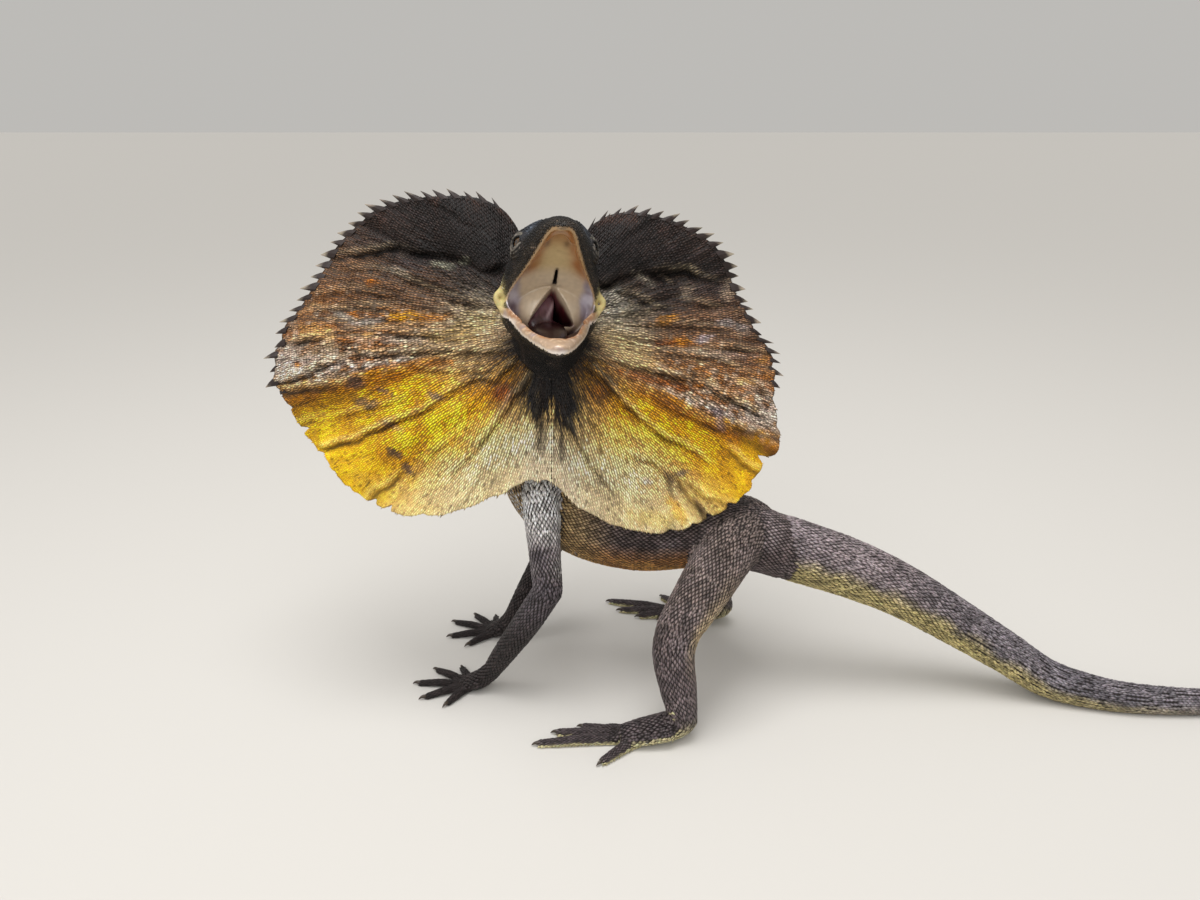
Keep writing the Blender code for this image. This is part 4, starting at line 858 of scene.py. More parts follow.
def makeField(name):
    # the frill's places, directions and colours on a fine grid of angle and share of the reach
    hand = 1 if name == "frillLeft" else -1
    columns, rows = frill["field"]
    around = np.linspace(0, frill["last"], columns)
    angle, share = (grid.ravel() for grid in np.meshgrid(around, np.linspace(0, 1, rows), indexing="ij"))
    rim = np.repeat(rimReach(name, around), rows)
    smoothRim = readProfile(outline[name], angle)
    reach = frill["root"] + (rim - frill["root"]) * share
    share = np.clip((reach - frill["root"]) / (smoothRim - frill["root"]), 0, 1)
    turn = np.radians(angle)
    x, y = reach * np.sin(turn), -reach * np.cos(turn)

    height = np.zeros_like(angle)
    for rootAngle, rimAngle, lift, below, above, start in folds[name]:
        crest = rootAngle + (rimAngle - rootAngle) * share**0.6
        width = np.where(angle < crest, below, above)
        height += lift * bell(angle, crest, width) * ease(start, 1.0, share) ** 0.8
    shade, crestHighlight = np.zeros_like(angle), np.zeros_like(angle)
    wobble = cloud(np.c_[x, y, np.full_like(x, hand * 9.0)], 6.0) * 1.1
    wobble += cloud(np.c_[x, y, np.full_like(x, 4.0)], 2.2) * 0.4
    pulse = cloud(np.c_[x, y, np.full_like(x, 5.5)], 14.0)
    for points, lift, slope, trough, fadeIn, fadeOut in wrinkles[name]:
        gap, along = fromLine(points, x, y)
        gap = gap + wobble
        fade = ease(0, fadeIn, along) * (1 - ease(1 - fadeOut, 1, along))
        fade = fade * np.clip(0.8 + 0.7 * pulse, 0.25, 1.2)
        crestShape = np.where(gap > 0, np.exp(-np.abs(gap) / (slope * 1.3)), np.exp(-((gap / 1.5) ** 2)))
        height += fade * (lift * crestShape - trough * 0.9 * bell(gap, -2.2, 2.2))
        # painted shadow in the trough below each wrinkle and painted highlight along its crest
        shade = np.maximum(shade, fade * min(1.0, trough / 1.8) * bell(gap, -1.5, 1.5))
        crestHighlight = np.maximum(crestHighlight, fade * min(1.0, max(lift, 0) / 2.6) * bell(gap, 0.8, 1.3))

    crust = crustAmount(name, angle, share)
    spread = ease(58, 78, angle) * (1 - ease(112, 134, angle)) * ease(0.1, 0.3, share)
    run = np.c_[angle * 0.62, reach / 24, np.full_like(x, hand * 3.0)]
    lumps = cloud(run * (0.32, 0.9, 1), 1.0)
    soft = cloud(run, 1.0, 4.0)
    fine = cloud(run * (2.4, 2.6, 1), 1.0, 5.0)
    tiny = cloud(run * (5.5, 6.5, 1), 1.0, 6.0)
    height += lumps * (0.5 + 1.9 * spread) + soft * (0.28 + 0.75 * spread + 0.8 * crust)
    crease = (0.5 - np.abs(fine)) * (0.3 + 0.6 * spread + 1.2 * crust)
    height += crease + tiny * (0.1 + 0.18 * spread + 0.4 * crust)
    height = height * ease(0.0, 0.12, share) * ease(0, 5, angle)

    grid = height.reshape(columns, rows)
    smooth = grid.copy()
    for _ in range(18):
        padded = np.pad(smooth, 1, mode="edge")
        smooth = (padded[:-2, 1:-1] + padded[2:, 1:-1] + padded[1:-1, :-2] + padded[1:-1, 2:] + smooth) / 5
    relief = (grid - smooth).ravel()

    back = readProfile(lean, angle) * reach + hand * x * math.tan(math.radians(frill["turn"]))
    centre = np.array(frill["centre"]) * mm + poseShift
    across = (hand * np.maximum(x, 0.3))[:, None] * np.array((1.0, 0, 0))
    place = centre + (across + y[:, None] * frillUp + (height - back)[:, None] * frillFacing) * mm
    colour = frillTint(name, angle, share, x, y, crust)
    # painted shadow 1c0f06 in the wrinkle troughs and painted highlight e8d3a8 on their crests
    colour = layer(colour, [
        ("1c0f06", np.clip(shade * 0.5, 0, 1)),
        ("e8d3a8", np.clip(crestHighlight * 0.26 * (1 - ease(108, 122, angle)), 0, 1)),
    ])
    # painted shade in the hollows and painted highlight on the rises, from the relief against its smoothed
    # self
    colour = colour * np.clip(1 + relief * 0.75, 0.3, 1.6)[:, None]
    place = place.reshape(columns, rows, 3)
    outward = unit(np.gradient(place, axis=1))
    normal = unit(np.cross(outward, np.gradient(place, axis=0)))
    normal *= np.sign(normal @ frillFacing)[..., None]
    return {
        "place": place, "outward": outward, "normal": normal,
        "colour": colour.reshape(columns, rows, 3), "share": share.reshape(columns, rows, 1),
    }


def sample(grid, angle, level):
    # values of a grid between its points, at an angle and a level from root (0) to rim (1)
    columns, rows = grid.shape[:2]
    a = np.clip(angle / frill["last"] * (columns - 1), 0, columns - 1.001)
    b = np.clip(level * (rows - 1), 0, rows - 1.001)
    i, j = a.astype(int), b.astype(int)
    u, v = (a - i)[:, None], (b - j)[:, None]
    low = grid[i, j] * (1 - u) + grid[i + 1, j] * u
    high = grid[i, j + 1] * (1 - u) + grid[i + 1, j + 1] * u
    return low * (1 - v) + high * v


def makeFrillSkin(name, field):
    bm = bmesh.new()
    bmesh.ops.create_grid(bm, x_segments=frill["columns"], y_segments=frill["rows"], size=1.0)
    flat = np.array([v.co for v in bm.verts])
    angle, level = (flat[:, 0] + 1) / 2 * frill["last"], (flat[:, 1] + 1) / 2
    for vert, place in zip(bm.verts, sample(field["place"], angle, level)):
        vert.co = place
    mesh = bpy.data.meshes.new(name)
    bm.to_mesh(mesh)
    bm.free()
    sheet = addObject(name, mesh)
    tint = sample(field["colour"], angle, level)
    bright = ease(0.7, 0.95, level) * (1 - ease(58, 72, angle))
    setTint(mesh, tint * (0.3 + 0.45 * bright)[:, None])
    if vertexNormals(mesh).mean(axis=0) @ frillFacing < 0:
        mesh.flip_normals()
    shell = sheet.modifiers.new("shell", "SOLIDIFY")
    shell.thickness = frill["thick"] * mm
    shell.offset = 0.0
    bake(sheet)
    sheet.data.shade_smooth()
    return sheet


# Colours of the animal, as a painter would name them

def frillTint(name, angle, share, x, y, crust):
    # the frill from its black-brown top through rust and chalk to gold and cream below
    left = name == "frillLeft"
    depth = np.full_like(x, 3.0 if left else 8.0)
    flat = np.c_[x, y, depth]
    run = np.c_[angle * 0.6, share * 3.4, depth]
    patch = cloud(flat, 21.0, 1.7)
    soft = cloud(flat, 9.0, 5.1)
    streak = cloud(run * (1.1, 1.6, 1), 1.0, 2.2)
    thin = cloud(run * (3.4, 3.2, 1), 1.0, 7.7)
    speck = cloud(flat, 2.6, 4.4)
    crest = stepRidge[name][0] + (stepRidge[name][1] - stepRidge[name][0]) * share**0.6
    above = angle - crest
    wander = 6 * patch + 3 * soft

    tint = np.tile(toLinear("cc9322"), (len(angle), 1))
    tint = layer(tint, [
        ("dfb143", np.clip(0.45 + soft + 0.4 * streak, 0, 1) * 0.75),
        ("a9701c", ease(0.05, 0.55, streak + 0.4 * patch) * (0.5 if left else 0.35)),
        ("7c4c14", ease(0.2, 0.6, thin + 0.5 * streak) * (1 - ease(0.6, 0.85, share)) * 0.35),
        # brighter, cleaner gold out at the rim
        ("e3b53a", ease(0.74, 0.95, share + 0.12 * soft) * (1 - ease(-10, -2, above)) * 0.7),
    ])
    # cream towards the middle line and the lower rim
    cream = 1 - ease(24, 50, angle + wander - 14 * (share - 0.75))
    tint = layer(tint, [
        ("d8c295", cream * (0.5 + 0.5 * ease(0.35, 0.75, share))),
        ("c4b6a0", (1 - ease(8, 22, angle + wander)) * ease(0.5, 0.75, share) * 0.7),
        # rust and brown towards the root
        ("a8651c", (1 - ease(0.22, 0.55, share)) * ease(14, 30, angle) * 0.4),
        ("7a3f16", bell(x, 24, 8) * bell(y, -34, 7) * 0.7),
        ("5a3a1c", (1 - ease(0.12, 0.32, share + 0.15 * streak)) * (1 - ease(60, 72, angle)) * 0.45),
        # painted shadow cast by the overhanging step onto the skin just below it, deep ochre
        ("8a4c12", bell(above, -2.8, 3.0) * ease(0.12, 0.4, share) * 0.75),
    ])
    tint = tint * (1 + (0.2 + 0.5 * (1 - ease(0.55, 0.85, share))) * ease(0.25, 0.45, share))[:, None]

    over = ease(-0.8, 1.6, above)
    tint = layer(tint, [
        ("946842", over),
        ("a86a2c", over * ease(0.05, 0.5, streak + 0.35 * patch) * (1 - ease(20, 34, above)) * 0.8),
        ("c9943a", over * ease(0.2, 0.55, soft - 0.3 * streak) * (1 - ease(12, 26, above)) * 0.8),
        ("b89c78", over * ease(0.05, 0.5, -streak) * (1 - ease(20, 40, above)) * 0.75),
        ("4e3324", over * ease(0.15, 0.55, thin + 0.5 * patch) * (0.55 if left else 0.7)),
        ("c9b8a4", over * ease(0.3, 0.6, speck + 0.3 * streak) * (1 - ease(20, 48, above)) * 0.5),
    ])
    tint = paint(tint, "6a5040" if left else "5c4433", over * ease(12, 26, above + wander) * 0.75)
    # black-brown upper lobes with a grey bloom
    start = (28, 44) if left else (27, 43)
    dark = ease(*start, above + wander)
    tint = layer(tint, [
        ("2c211e", dark * 0.95),
        ("9a8672", dark * ease(0.15, 0.5, soft + 0.4 * thin) * (1 - ease(108, 120, angle)) * 0.6),
        ("4a3d3d", dark * ease(0.1, 0.6, streak) * 0.5),
        ("150f0e", ease(118, 140, angle + 0.5 * wander) * 0.75),
        ("4c3227", ease(0.8, 0.98, share) * ease(100, 120, angle) * ease(0, 0.5, soft) * 0.5),
        # chalky crust along the step and out at its tip
        ("bba893", crust * ease(-0.3, 0.3, speck + soft) * 0.75),
        ("a5611f", crust * ease(0.15, 0.5, streak + 0.4 * thin) * 0.5),
        ("5f4736", crust * ease(0.1, 0.45, -thin) * 0.6),
    ])
    edge = bell(above, 1.8 + 2.5 * ease(0.7, 1, share), 1.2 + 3.4 * ease(0.62, 0.95, share))
    edge = edge * ease(0.35, 0.6, share)
    tint = paint(tint, "c8bbb0", edge * ease(-0.6, 0.1, speck + 0.5 * thin) * 0.7)
    # grey-cream skin beside the corner of the mouth; next to the jaw its own dark slate, deepened by
    # painted shade where the head overhangs the root
    pale = bell(angle, 88 if left else 84, 22) * bell(share, 0.2, 0.16)
    tint = layer(tint, [
        ("cdbfa4", np.clip(pale * (0.95 + 0.6 * speck.clip(-0.6, 0.6)), 0, 1)),
        ("cba674", bell(angle, 68 if left else 76, 16) * bell(share, 0.24, 0.16) * 0.8),
        ("2b2927", bell(angle, 70, 22) * (1 - ease(0.04, 0.1, share)) * 0.85),
    ])
    # painted shadow in the deep crease below the upper lobes, where their bulge overhangs
    lobeShadow = bell(y, 32 if left else 38, 7) * ease(14, 26, x) * (1 - ease(60, 100, x))
    tint = paint(tint, "0e0907", lobeShadow * 0.7)
    # the dark middle of the throat and its streaks
    throat = 1 - ease(15, 36, angle + 12 * share + 7 * thin)
    throat = throat * (1 - ease(0.34, 0.66, share + 0.24 * streak))
    tint = paint(tint, "0f0b09", np.clip(throat * 1.2, 0, 1))
    streaks = ease(-0.05, 0.35, cloud(run * (3.0, 0.7, 1), 1.0, 3.1))
    streaks = streaks * (1 - ease(0.22, 0.5, share)) * (1 - ease(56, 72, angle))
    tint = layer(tint, [
        ("1a1310", streaks * 0.85),
        # a dark ring round the root below the jaw: the throat's own dark skin with painted shade under the
        # head
        ("1f1815", (1 - ease(0.07, 0.2, share + 0.05 * thin)) * (1 - ease(66, 80, angle)) * 0.92),
        ("241b16", bell(x, 5, 3.2) * (1 - ease(0.62, 0.85, share)) * 0.75),
    ])
    for outwards, up, longHalf, wideHalf, lie, colour, strength in marks[name]:
        c, s = math.cos(math.radians(lie)), math.sin(math.radians(lie))
        dx, dy = x - outwards, y - up
        far = np.hypot((dx * c + dy * s) / longHalf, (dy * c - dx * s) / wideHalf)
        tint = paint(tint, colour, (1 - ease(0.45, 1.25, far + 0.5 * speck + 0.3 * thin)) * strength)
    # stronger hues and more light and dark from patch to patch
    grey = tint.mean(axis=1, keepdims=True)
    light = 1 + 0.34 * soft + 0.4 * speck * (1 - 0.5 * share)
    return np.clip(grey + (tint - grey) * 1.1, 0.004, 1) * light[:, None]


def bodyTint(points, normals, part, along):
    # grey-brown above, orange-tan below, pale grey upper arm and nearly black hands
    points = np.asarray(points) - poseShift
    soft = cloud(points, 0.012, 2.2)
    patch = cloud(points, 0.03, 6.2)
    down = -normals[:, 2]
    tint = np.tile(toLinear("6a5d59"), (len(points), 1))
    tint = layer(tint, [
        ("83777a", np.clip(0.5 + soft + 0.5 * patch, 0, 1) * 0.6),
        ("463b39", ease(0.0, 0.6, patch - soft) * 0.6),
    ])
    if part == "trunk":
        height = (points[:, 2] / mm - 90) / 22
        low = ease(-0.05, 0.6, down) * (points[:, 0] > -0.02) * (1 - ease(0.045, 0.075, points[:, 0]))
        tint = layer(tint, [
            # darker on the flanks and underneath, where the skin turns away from the top: painted shade
            ("4b4040", ease(-0.6, 0.1, down) * 0.6),
            ("9a672f", low * 0.9),
            ("b98a48", low * ease(0.1, 0.5, soft) * 0.5),
        ])
        chest = (1 - ease(-0.02, 0.012, points[:, 0])) * ease(-0.2, 0.3, -normals[:, 1] + 0.2 * height)
        tint = paint(tint, "a58a5c", chest * 0.75)
        neck = ease(0.150, 0.175, points[:, 2])
        tint = paint(tint, "221b19", neck * 0.85)
    elif part == "tail":
        tint = layer(tint, [
            ("8b8084", (1 - ease(150, 260, points[:, 0] / mm)) * 0.6),
            ("6f6b72", ease(150, 230, points[:, 0] / mm) * 0.7),
        ])
        band = 0.5 + 0.5 * np.sin(points[:, 0] / mm / 13 + 2 * soft)
        tint = paint(tint, "37343a", ease(0.5, 0.9, band) * ease(120, 220, points[:, 0] / mm) * 0.4)
        low = ease(-0.3, 0.35, down + 0.25 * soft) * (1 - ease(210, 330, points[:, 0] / mm) * 0.8)
        tint = paint(tint, "b3a468", low * 0.8)
    elif part.startswith("foreleg"):
        arm = along if part.endswith("limb") else np.ones(len(points))
        tint = layer(tint, [
            ("c4c0be", (1 - ease(0.1, 0.4, arm + 0.12 * soft)) * 0.95),
            ("dedad0", (1 - ease(0.12, 0.28, arm)) * ease(0.0, 0.5, soft) * 0.5),
            ("4e474c", ease(0.16, 0.42, arm + 0.14 * soft) * 0.9),
            ("29211f", ease(0.38, 0.66, arm + 0.08 * soft) * 0.9),
        ])
    else:
        leg = along if part.endswith("limb") else np.ones(len(points))
        tint = paint(tint, "6b5e58", (1 - ease(0.35, 0.5, leg)) * 0.6)
        inner = ease(0.35, 0.85, normals[:, 0])
        tint = layer(tint, [
            ("c4ad86", inner * bell(leg, 0.42, 0.13) * 0.9),
            ("5a4e50", bell(leg, 0.62, 0.14) * 0.6),
            ("423a3c", ease(0.7, 0.8, leg) * 0.85),
            ("d0c596", ease(0.74, 0.82, leg) * ease(-0.2, 0.2, down + 0.2 * soft) * 0.85),
        ])
    return tint


def headTint(points, depth):
    # black-brown hide outside; palate, cheeks, lips and throat inside the mouth
    count = len(points)
    side, forward, up = headPlace(mouthAxes, points)
    skullSide, skullForward, skullUp = headPlace(skullAxes, points)
    _, jawForward, jawUp = headPlace(lowerAxes, points)
    soft = cloud(points, 0.006, 3.3)
    fine = cloud(points, 0.0018, 9.3)
    tint = np.tile(toLinear("15110f"), (count, 1))
    tint = layer(tint, [
        ("3a302a", ease(0.1, 0.6, soft) * 0.5),
        ("080706", ease(0.0, 0.5, -soft) * 0.7),
        # a bluish-grey painted sheen on the top of the snout, a painted reflection of the sky
        ("4c535f", ease(34, 50, skullForward) * ease(7, 12, skullUp) * 0.8),
        ("5a4e40", bell(skullUp, 2.6, 1.6) * ease(5, 20, skullForward) * 0.25),
    ])
    inside = 1 - ease(0.4, 1.0, depth)
    lining = np.tile(toLinear("b59a72"), (count, 1))
    wide = np.interp(skullForward, [-6, 12, 31, 46, 58], [20, 20.2, 13.2, 7.9, 3])
    onRoof = ease(-2, 1, skullUp) * ease(10, 20, skullForward)
    lining = layer(lining, [
        ("c3ae82", (1 - ease(0.2, 0.6, np.abs(skullSide) / wide)) * onRoof * 0.8),
        ("965a22", ease(0.4, 0.84, np.abs(skullSide) / wide + 0.16 * soft) * onRoof * 0.9),
        ("8a5a2c", ease(35, 52, skullForward) * onRoof * 0.8),
        ("3f2a1c", bell(np.abs(skullSide + 0.6), 4.4, 1.5) * bell(skullForward, 44, 3) * onRoof * 0.6),
        ("6b4020", bell(skullSide, -13.5, 2.2) * bell(skullForward, 27, 4) * 0.7),
        ("6a5540", ease(0.2, 0.5, soft) * bell(skullForward, 44, 7) * onRoof * 0.45),
        # whiter and wetter towards the curtain, violet in the cheeks
        ("c9b8a0", (1 - ease(13, 23, forward)) * 0.85),
    ])
    cheek = ease(13.5, 17.5, np.abs(side) + 1.2 * soft) * ease(-7, 1, up)
    cheek = cheek * (1 - ease(14, 22, up)) * (1 - ease(14, 24, forward))
    lining = layer(lining, [
        ("6f6488", cheek * 0.75),
        # painted highlight: a white sheen on the wet cheeks
        ("e0dce8", cheek * bell(up, 4.5, 6) * ease(-0.6, 0.1, soft) * 0.9),
        ("4f4564", cheek * bell(up, 12, 3) * 0.6),
    ])
    floor = (1 - ease(2, 9, jawUp)) * ease(6, 14, jawForward)
    deep = floor * (1 - ease(26, 36, jawForward))
    lining = layer(lining, [
        ("b98062", floor * 0.85),
        ("8f4f35", floor * ease(0.0, 0.4, fine + soft) * 0.4),
        # painted shade over the back of the mouth floor under the upper jaw, with dark red streaks
        ("1e0709", deep * 0.92),
        ("5c1d22", deep * ease(0.1, 0.5, cloud(np.c_[side, forward * 0.2, up * 0.2], 1.1, 4.0)) * 0.7),
    ])
    back = 1 - ease(0.0, 5.5, forward)
    throat = back * (1 - ease(10.5, 13.5, np.abs(side - 0.6)) * 0.6)
    # the mauve back wall of the throat; darker maroon to the right where it runs deeper, near black at its
    # bottom and deep in the gullet: painted shade
    lining = layer(lining, [
        ("5b2a33", throat * 0.97),
        ("3a0a10", throat * ease(0.0, 3.0, side - 3.0 - (up - 2) * 0.42) * 0.9),
        ("7a2630", throat * ease(0.2, 0.5, cloud(np.c_[side, up * 0.15, forward * 0.2], 1.3)) * 0.5),
        ("120406", throat * (1 - ease(-5, 2, up)) * 0.9),
        ("0c0304", (1 - ease(-9, -2, forward)) * 0.9),
    ])
    # painted shade in the carved cleft of the palate
    cleft = bell(side, 1.6, 0.75) * ease(5, 8, forward) * (1 - ease(18, 20, forward)) * ease(9, 12, up)
    lining = paint(lining, "2a1410", cleft * 0.9)
    tint = tint * (1 - inside[:, None]) + lining * inside[:, None]
    tint = paint(tint, "a08058", lipAmount(points, depth, "upper") * 0.9)
    lower = lipAmount(points, depth, "lower")
    hinder = 1 - ease(6, 30, jawForward)
    tint = layer(tint, [
        ("a68c74", lower * 0.95),
        ("877a88", lower * ease(0.05, 0.45, soft) * 0.55),
        ("9c683e", lower * (1 - ease(0.6, 2.4, depth + 1.4 * soft)) * 0.8),
        ("cdb294", lower * ease(0.1, 0.5, fine) * 0.5),
        ("ece2d8", lower * (1 - ease(-2.6, -0.8, jawUp + 0.7 * fine - 2.0 * hinder)) * 0.85),
    ])
    corner = bell(np.abs(side), 24.2, 3.0) * bell(forward, 4, 5.5) * bell(up, 5.5, 6.5)
    corner = corner * ease(-0.5, 0.5, depth)
    tint = paint(tint, "c9b77c", np.clip(corner * 1.8, 0, 0.95))
    return tint * (1 + 0.10 * fine[:, None])


def lipAmount(points, depth, which):
    # the bare rim of a lip, just outside the carved mouth
    _, skullForward, skullUp = headPlace(skullAxes, points)
    jawSide, jawForward, jawUp = headPlace(lowerAxes, points)
    if which == "upper":
        onRim = (1 - ease(0.2, 1.5, np.abs(skullUp))) * ease(2, 6, skullForward)
        return onRim * ease(-0.6, 0.2, depth) * (1 - ease(1.2, 2.0, depth))
    saw = cloud(np.c_[jawSide, jawForward, np.zeros(len(points))], 1.0, 2.0)
    hinder = 1 - ease(6, 30, jawForward)
    onRim = ease(-3.4, -2.9, jawUp + 0.9 * saw - 2.4 * hinder) * ease(-2, 4, jawForward)
    return onRim * (1 - ease(3.6, 4.4, jawUp)) * ease(-0.2, 0.4, depth)


# Scales: each a small closed leaf with a keel, laid with its root under the one before it

leaf = {
    # along, across and height of the corners: root, left, right, tip, keel, underside
    "corners": [
        (-0.58, 0, -0.05), (-0.02, 0.5, 0.02), (-0.02, -0.5, 0.02), (0.62, 0, 0.30), (0.12, 0, 0.52),
        (0, 0, -0.9),
    ],
    "faces": [(0, 2, 4), (2, 3, 4), (3, 1, 4), (1, 0, 4), (2, 0, 5), (3, 2, 5), (1, 3, 5), (0, 1, 5)],
    # painted shade and painted highlight at each corner beside the scale's own colour: darker at the root,
    # sides and underside where the scale tucks under its neighbours, lighter along the keel and at the tip
    "shade": [0.55, 0.62, 0.62, 1.12, 1.22, 0.5],
}
grain = {
    "corners": [(math.cos(math.pi * k / 3) * 0.52, math.sin(math.pi * k / 3) * 0.52, 0.0) for k in range(6)]
    + [(0.06, 0, 0.42), (0, 0, -0.6)],
    "faces": [(k, (k + 1) % 6, 6) for k in range(6)] + [((k + 1) % 6, k, 7) for k in range(6)],
    # painted shade round the rim of each grain and a painted highlight on its top
    "shade": [0.55] * 6 + [1.25, 0.5],
}


def makeCoat(name, form, sites, material):
    # one joined mesh of scales from arrays of places, directions, sizes and colours
    place, along, normal = sites["place"], unit(sites["along"]), unit(sites["normal"])
    across = np.cross(normal, along)
    local = np.array(form["corners"])
    length, width, height = sites["length"], sites["width"], sites["height"]
    count, each = len(place), len(local)
    points = (place[:, None] + along[:, None] * (local[None, :, 0:1] * length[:, None, None])
              + across[:, None] * (local[None, :, 1:2] * width[:, None, None])
              + normal[:, None] * (local[None, :, 2:3] * height[:, None, None]))
    points[:, :, 2] = np.maximum(points[:, :, 2], 0.02 * mm)
    faces = (np.array(form["faces"])[None] + (np.arange(count) * each)[:, None, None]).reshape(-1, 3)
    mesh = bpy.data.meshes.new(name)
    mesh.vertices.add(count * each)
    mesh.vertices.foreach_set("co", points.astype(np.float32).ravel())
    mesh.loops.add(len(faces) * 3)
    mesh.loops.foreach_set("vertex_index", faces.astype(np.int32).ravel())
    mesh.polygons.add(len(faces))
    mesh.polygons.foreach_set("loop_start", np.arange(0, len(faces) * 3, 3, dtype=np.int32))
    mesh.update(calc_edges=True)
    # the painted shade and highlight of each corner, as strong as the site's contrast
    shade = 1 + (np.array(form["shade"])[None] - 1) * sites["contrast"][:, None]
    colours = sites["colour"][:, None] * np.maximum(shade, 0.15)[:, :, None]
    setTint(mesh, colours.reshape(-1, 3))
    patch = sites["unwrap"][:, None] + local[None, :, :2] * 0.0028
    layer = mesh.uv_layers.new(name="OFBake")
    layer.data.foreach_set("uv", patch.reshape(-1, 2)[faces.ravel()].astype(np.float32).ravel())
    mesh.materials.append(material)
    piece = addObject(name, mesh)
    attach(piece, "root")
    print("coat", name, count, "scales", len(faces), "triangles")
    return piece


def joinSites(parts):
    return {key: np.concatenate([part[key] for part in parts]) for key in parts[0]}


def varied(count, seed, spread):
    return 1 + spread * np.random.default_rng(seed).uniform(-1, 1, count)


frillScales = {"length": 2.8, "width": 1.1, "rows": 1.62, "across": 1.08, "height": 0.5}


def frillSites(name, field, front):
    # rings of scales from root to rim, half a step apart from one ring to the next
    step = 1.0 if front else 1.4
    rows, angles = [], []
    reach, k = frill["root"] + 1.5, 0
    while reach < 142:
        size = step * (0.62 + 0.5 * math.sin(math.pi * min(1.0, (reach - 8) / 125)) ** 0.8)
        across = frillScales["across"] * size
        count = int(math.radians(frill["last"]) * reach / across)
        ring = (np.arange(count) + (0.5 if k % 2 else 0.0)) / count * frill["last"]
        ring = ring[rimReach(name, ring) > reach + 0.5 + 0.7 * ease(74, 84, ring)]
        angles.append(ring)
        rows.append(np.c_[np.full(len(ring), reach), np.full(len(ring), size)])
        reach += frillScales["rows"] * size
        k += 1
    angle = np.concatenate(angles)
    reach, size = np.concatenate(rows).T
    rng = np.random.default_rng(21 if front else 22)
    angle = np.clip(angle + np.degrees(rng.normal(0, 0.1, len(angle)) / reach), 0.3, frill["last"] - 0.3)
    reach = reach + rng.normal(0, 0.13, len(reach))
    level = np.clip((reach - frill["root"]) / (rimReach(name, angle) - frill["root"]), 0, 1)
    keys = ("place", "outward", "normal", "colour", "share")
    place, outward, normal, colour, share = (sample(field[key], angle, level) for key in keys)
    share = share[:, 0]
    crust = crustAmount(name, angle, share)
    gold = (1 - ease(58, 74, angle)) * ease(0.7, 0.92, level)
    if not front:
        normal = -normal
        colour = paint(colour, "5b4a3c", np.full(len(angle), 0.62))
    count = len(angle)
    turn = np.radians(angle) * (1 if name == "frillLeft" else -1)
    flat = 0.5 + np.c_[np.sin(turn), -np.cos(turn)] * (reach / 300)[:, None]
    odd = rng.uniform(0, 1, count)
    spread = 1 + (0.42 - 0.2 * gold) * rng.uniform(-1, 1, count)
    spread = spread * np.where(odd < 0.08, 0.5, np.where(odd > 0.94, 1.5, 1.1))
    height = frillScales["height"] * (0.6 + 0.4 * size) * varied(count, 7, 0.35) * mm
    return {
        "place": place + normal * (frill["thick"] / 2 - 0.02) * mm,
        "along": unit(outward), "normal": unit(normal),
        "length": frillScales["length"] * size * varied(count, 5, 0.2) * mm,
        "width": frillScales["width"] * size * varied(count, 6, 0.16) * mm * (1 + 0.35 * crust),
        "height": height * (1 + 0.6 * crust - 0.4 * gold),
        "colour": colour * spread[:, None], "unwrap": flat, "contrast": 1.75 - 0.85 * gold,
    }


def insideTree(tree, points):
    # whether points lie under a closed skin
    hidden = np.zeros(len(points), bool)
    for i, point in enumerate(points):
        near, normal, _, _ = tree.find_nearest(Vector(point), 0.03)
        if near is not None:
            hidden[i] = (Vector(point) - near).dot(normal) < 0
    return hidden


def keepSites(sites, keep):
    return {key: value[keep] for key, value in sites.items()}


bodyScales = {
    # pitch along and across the lie in mm
    "trunk": (1.5, 2.1), "tail": (2.1, 2.2), "limb": (1.6, 2.3), "digit": (1.15, 1.5), "height": 0.6,
}


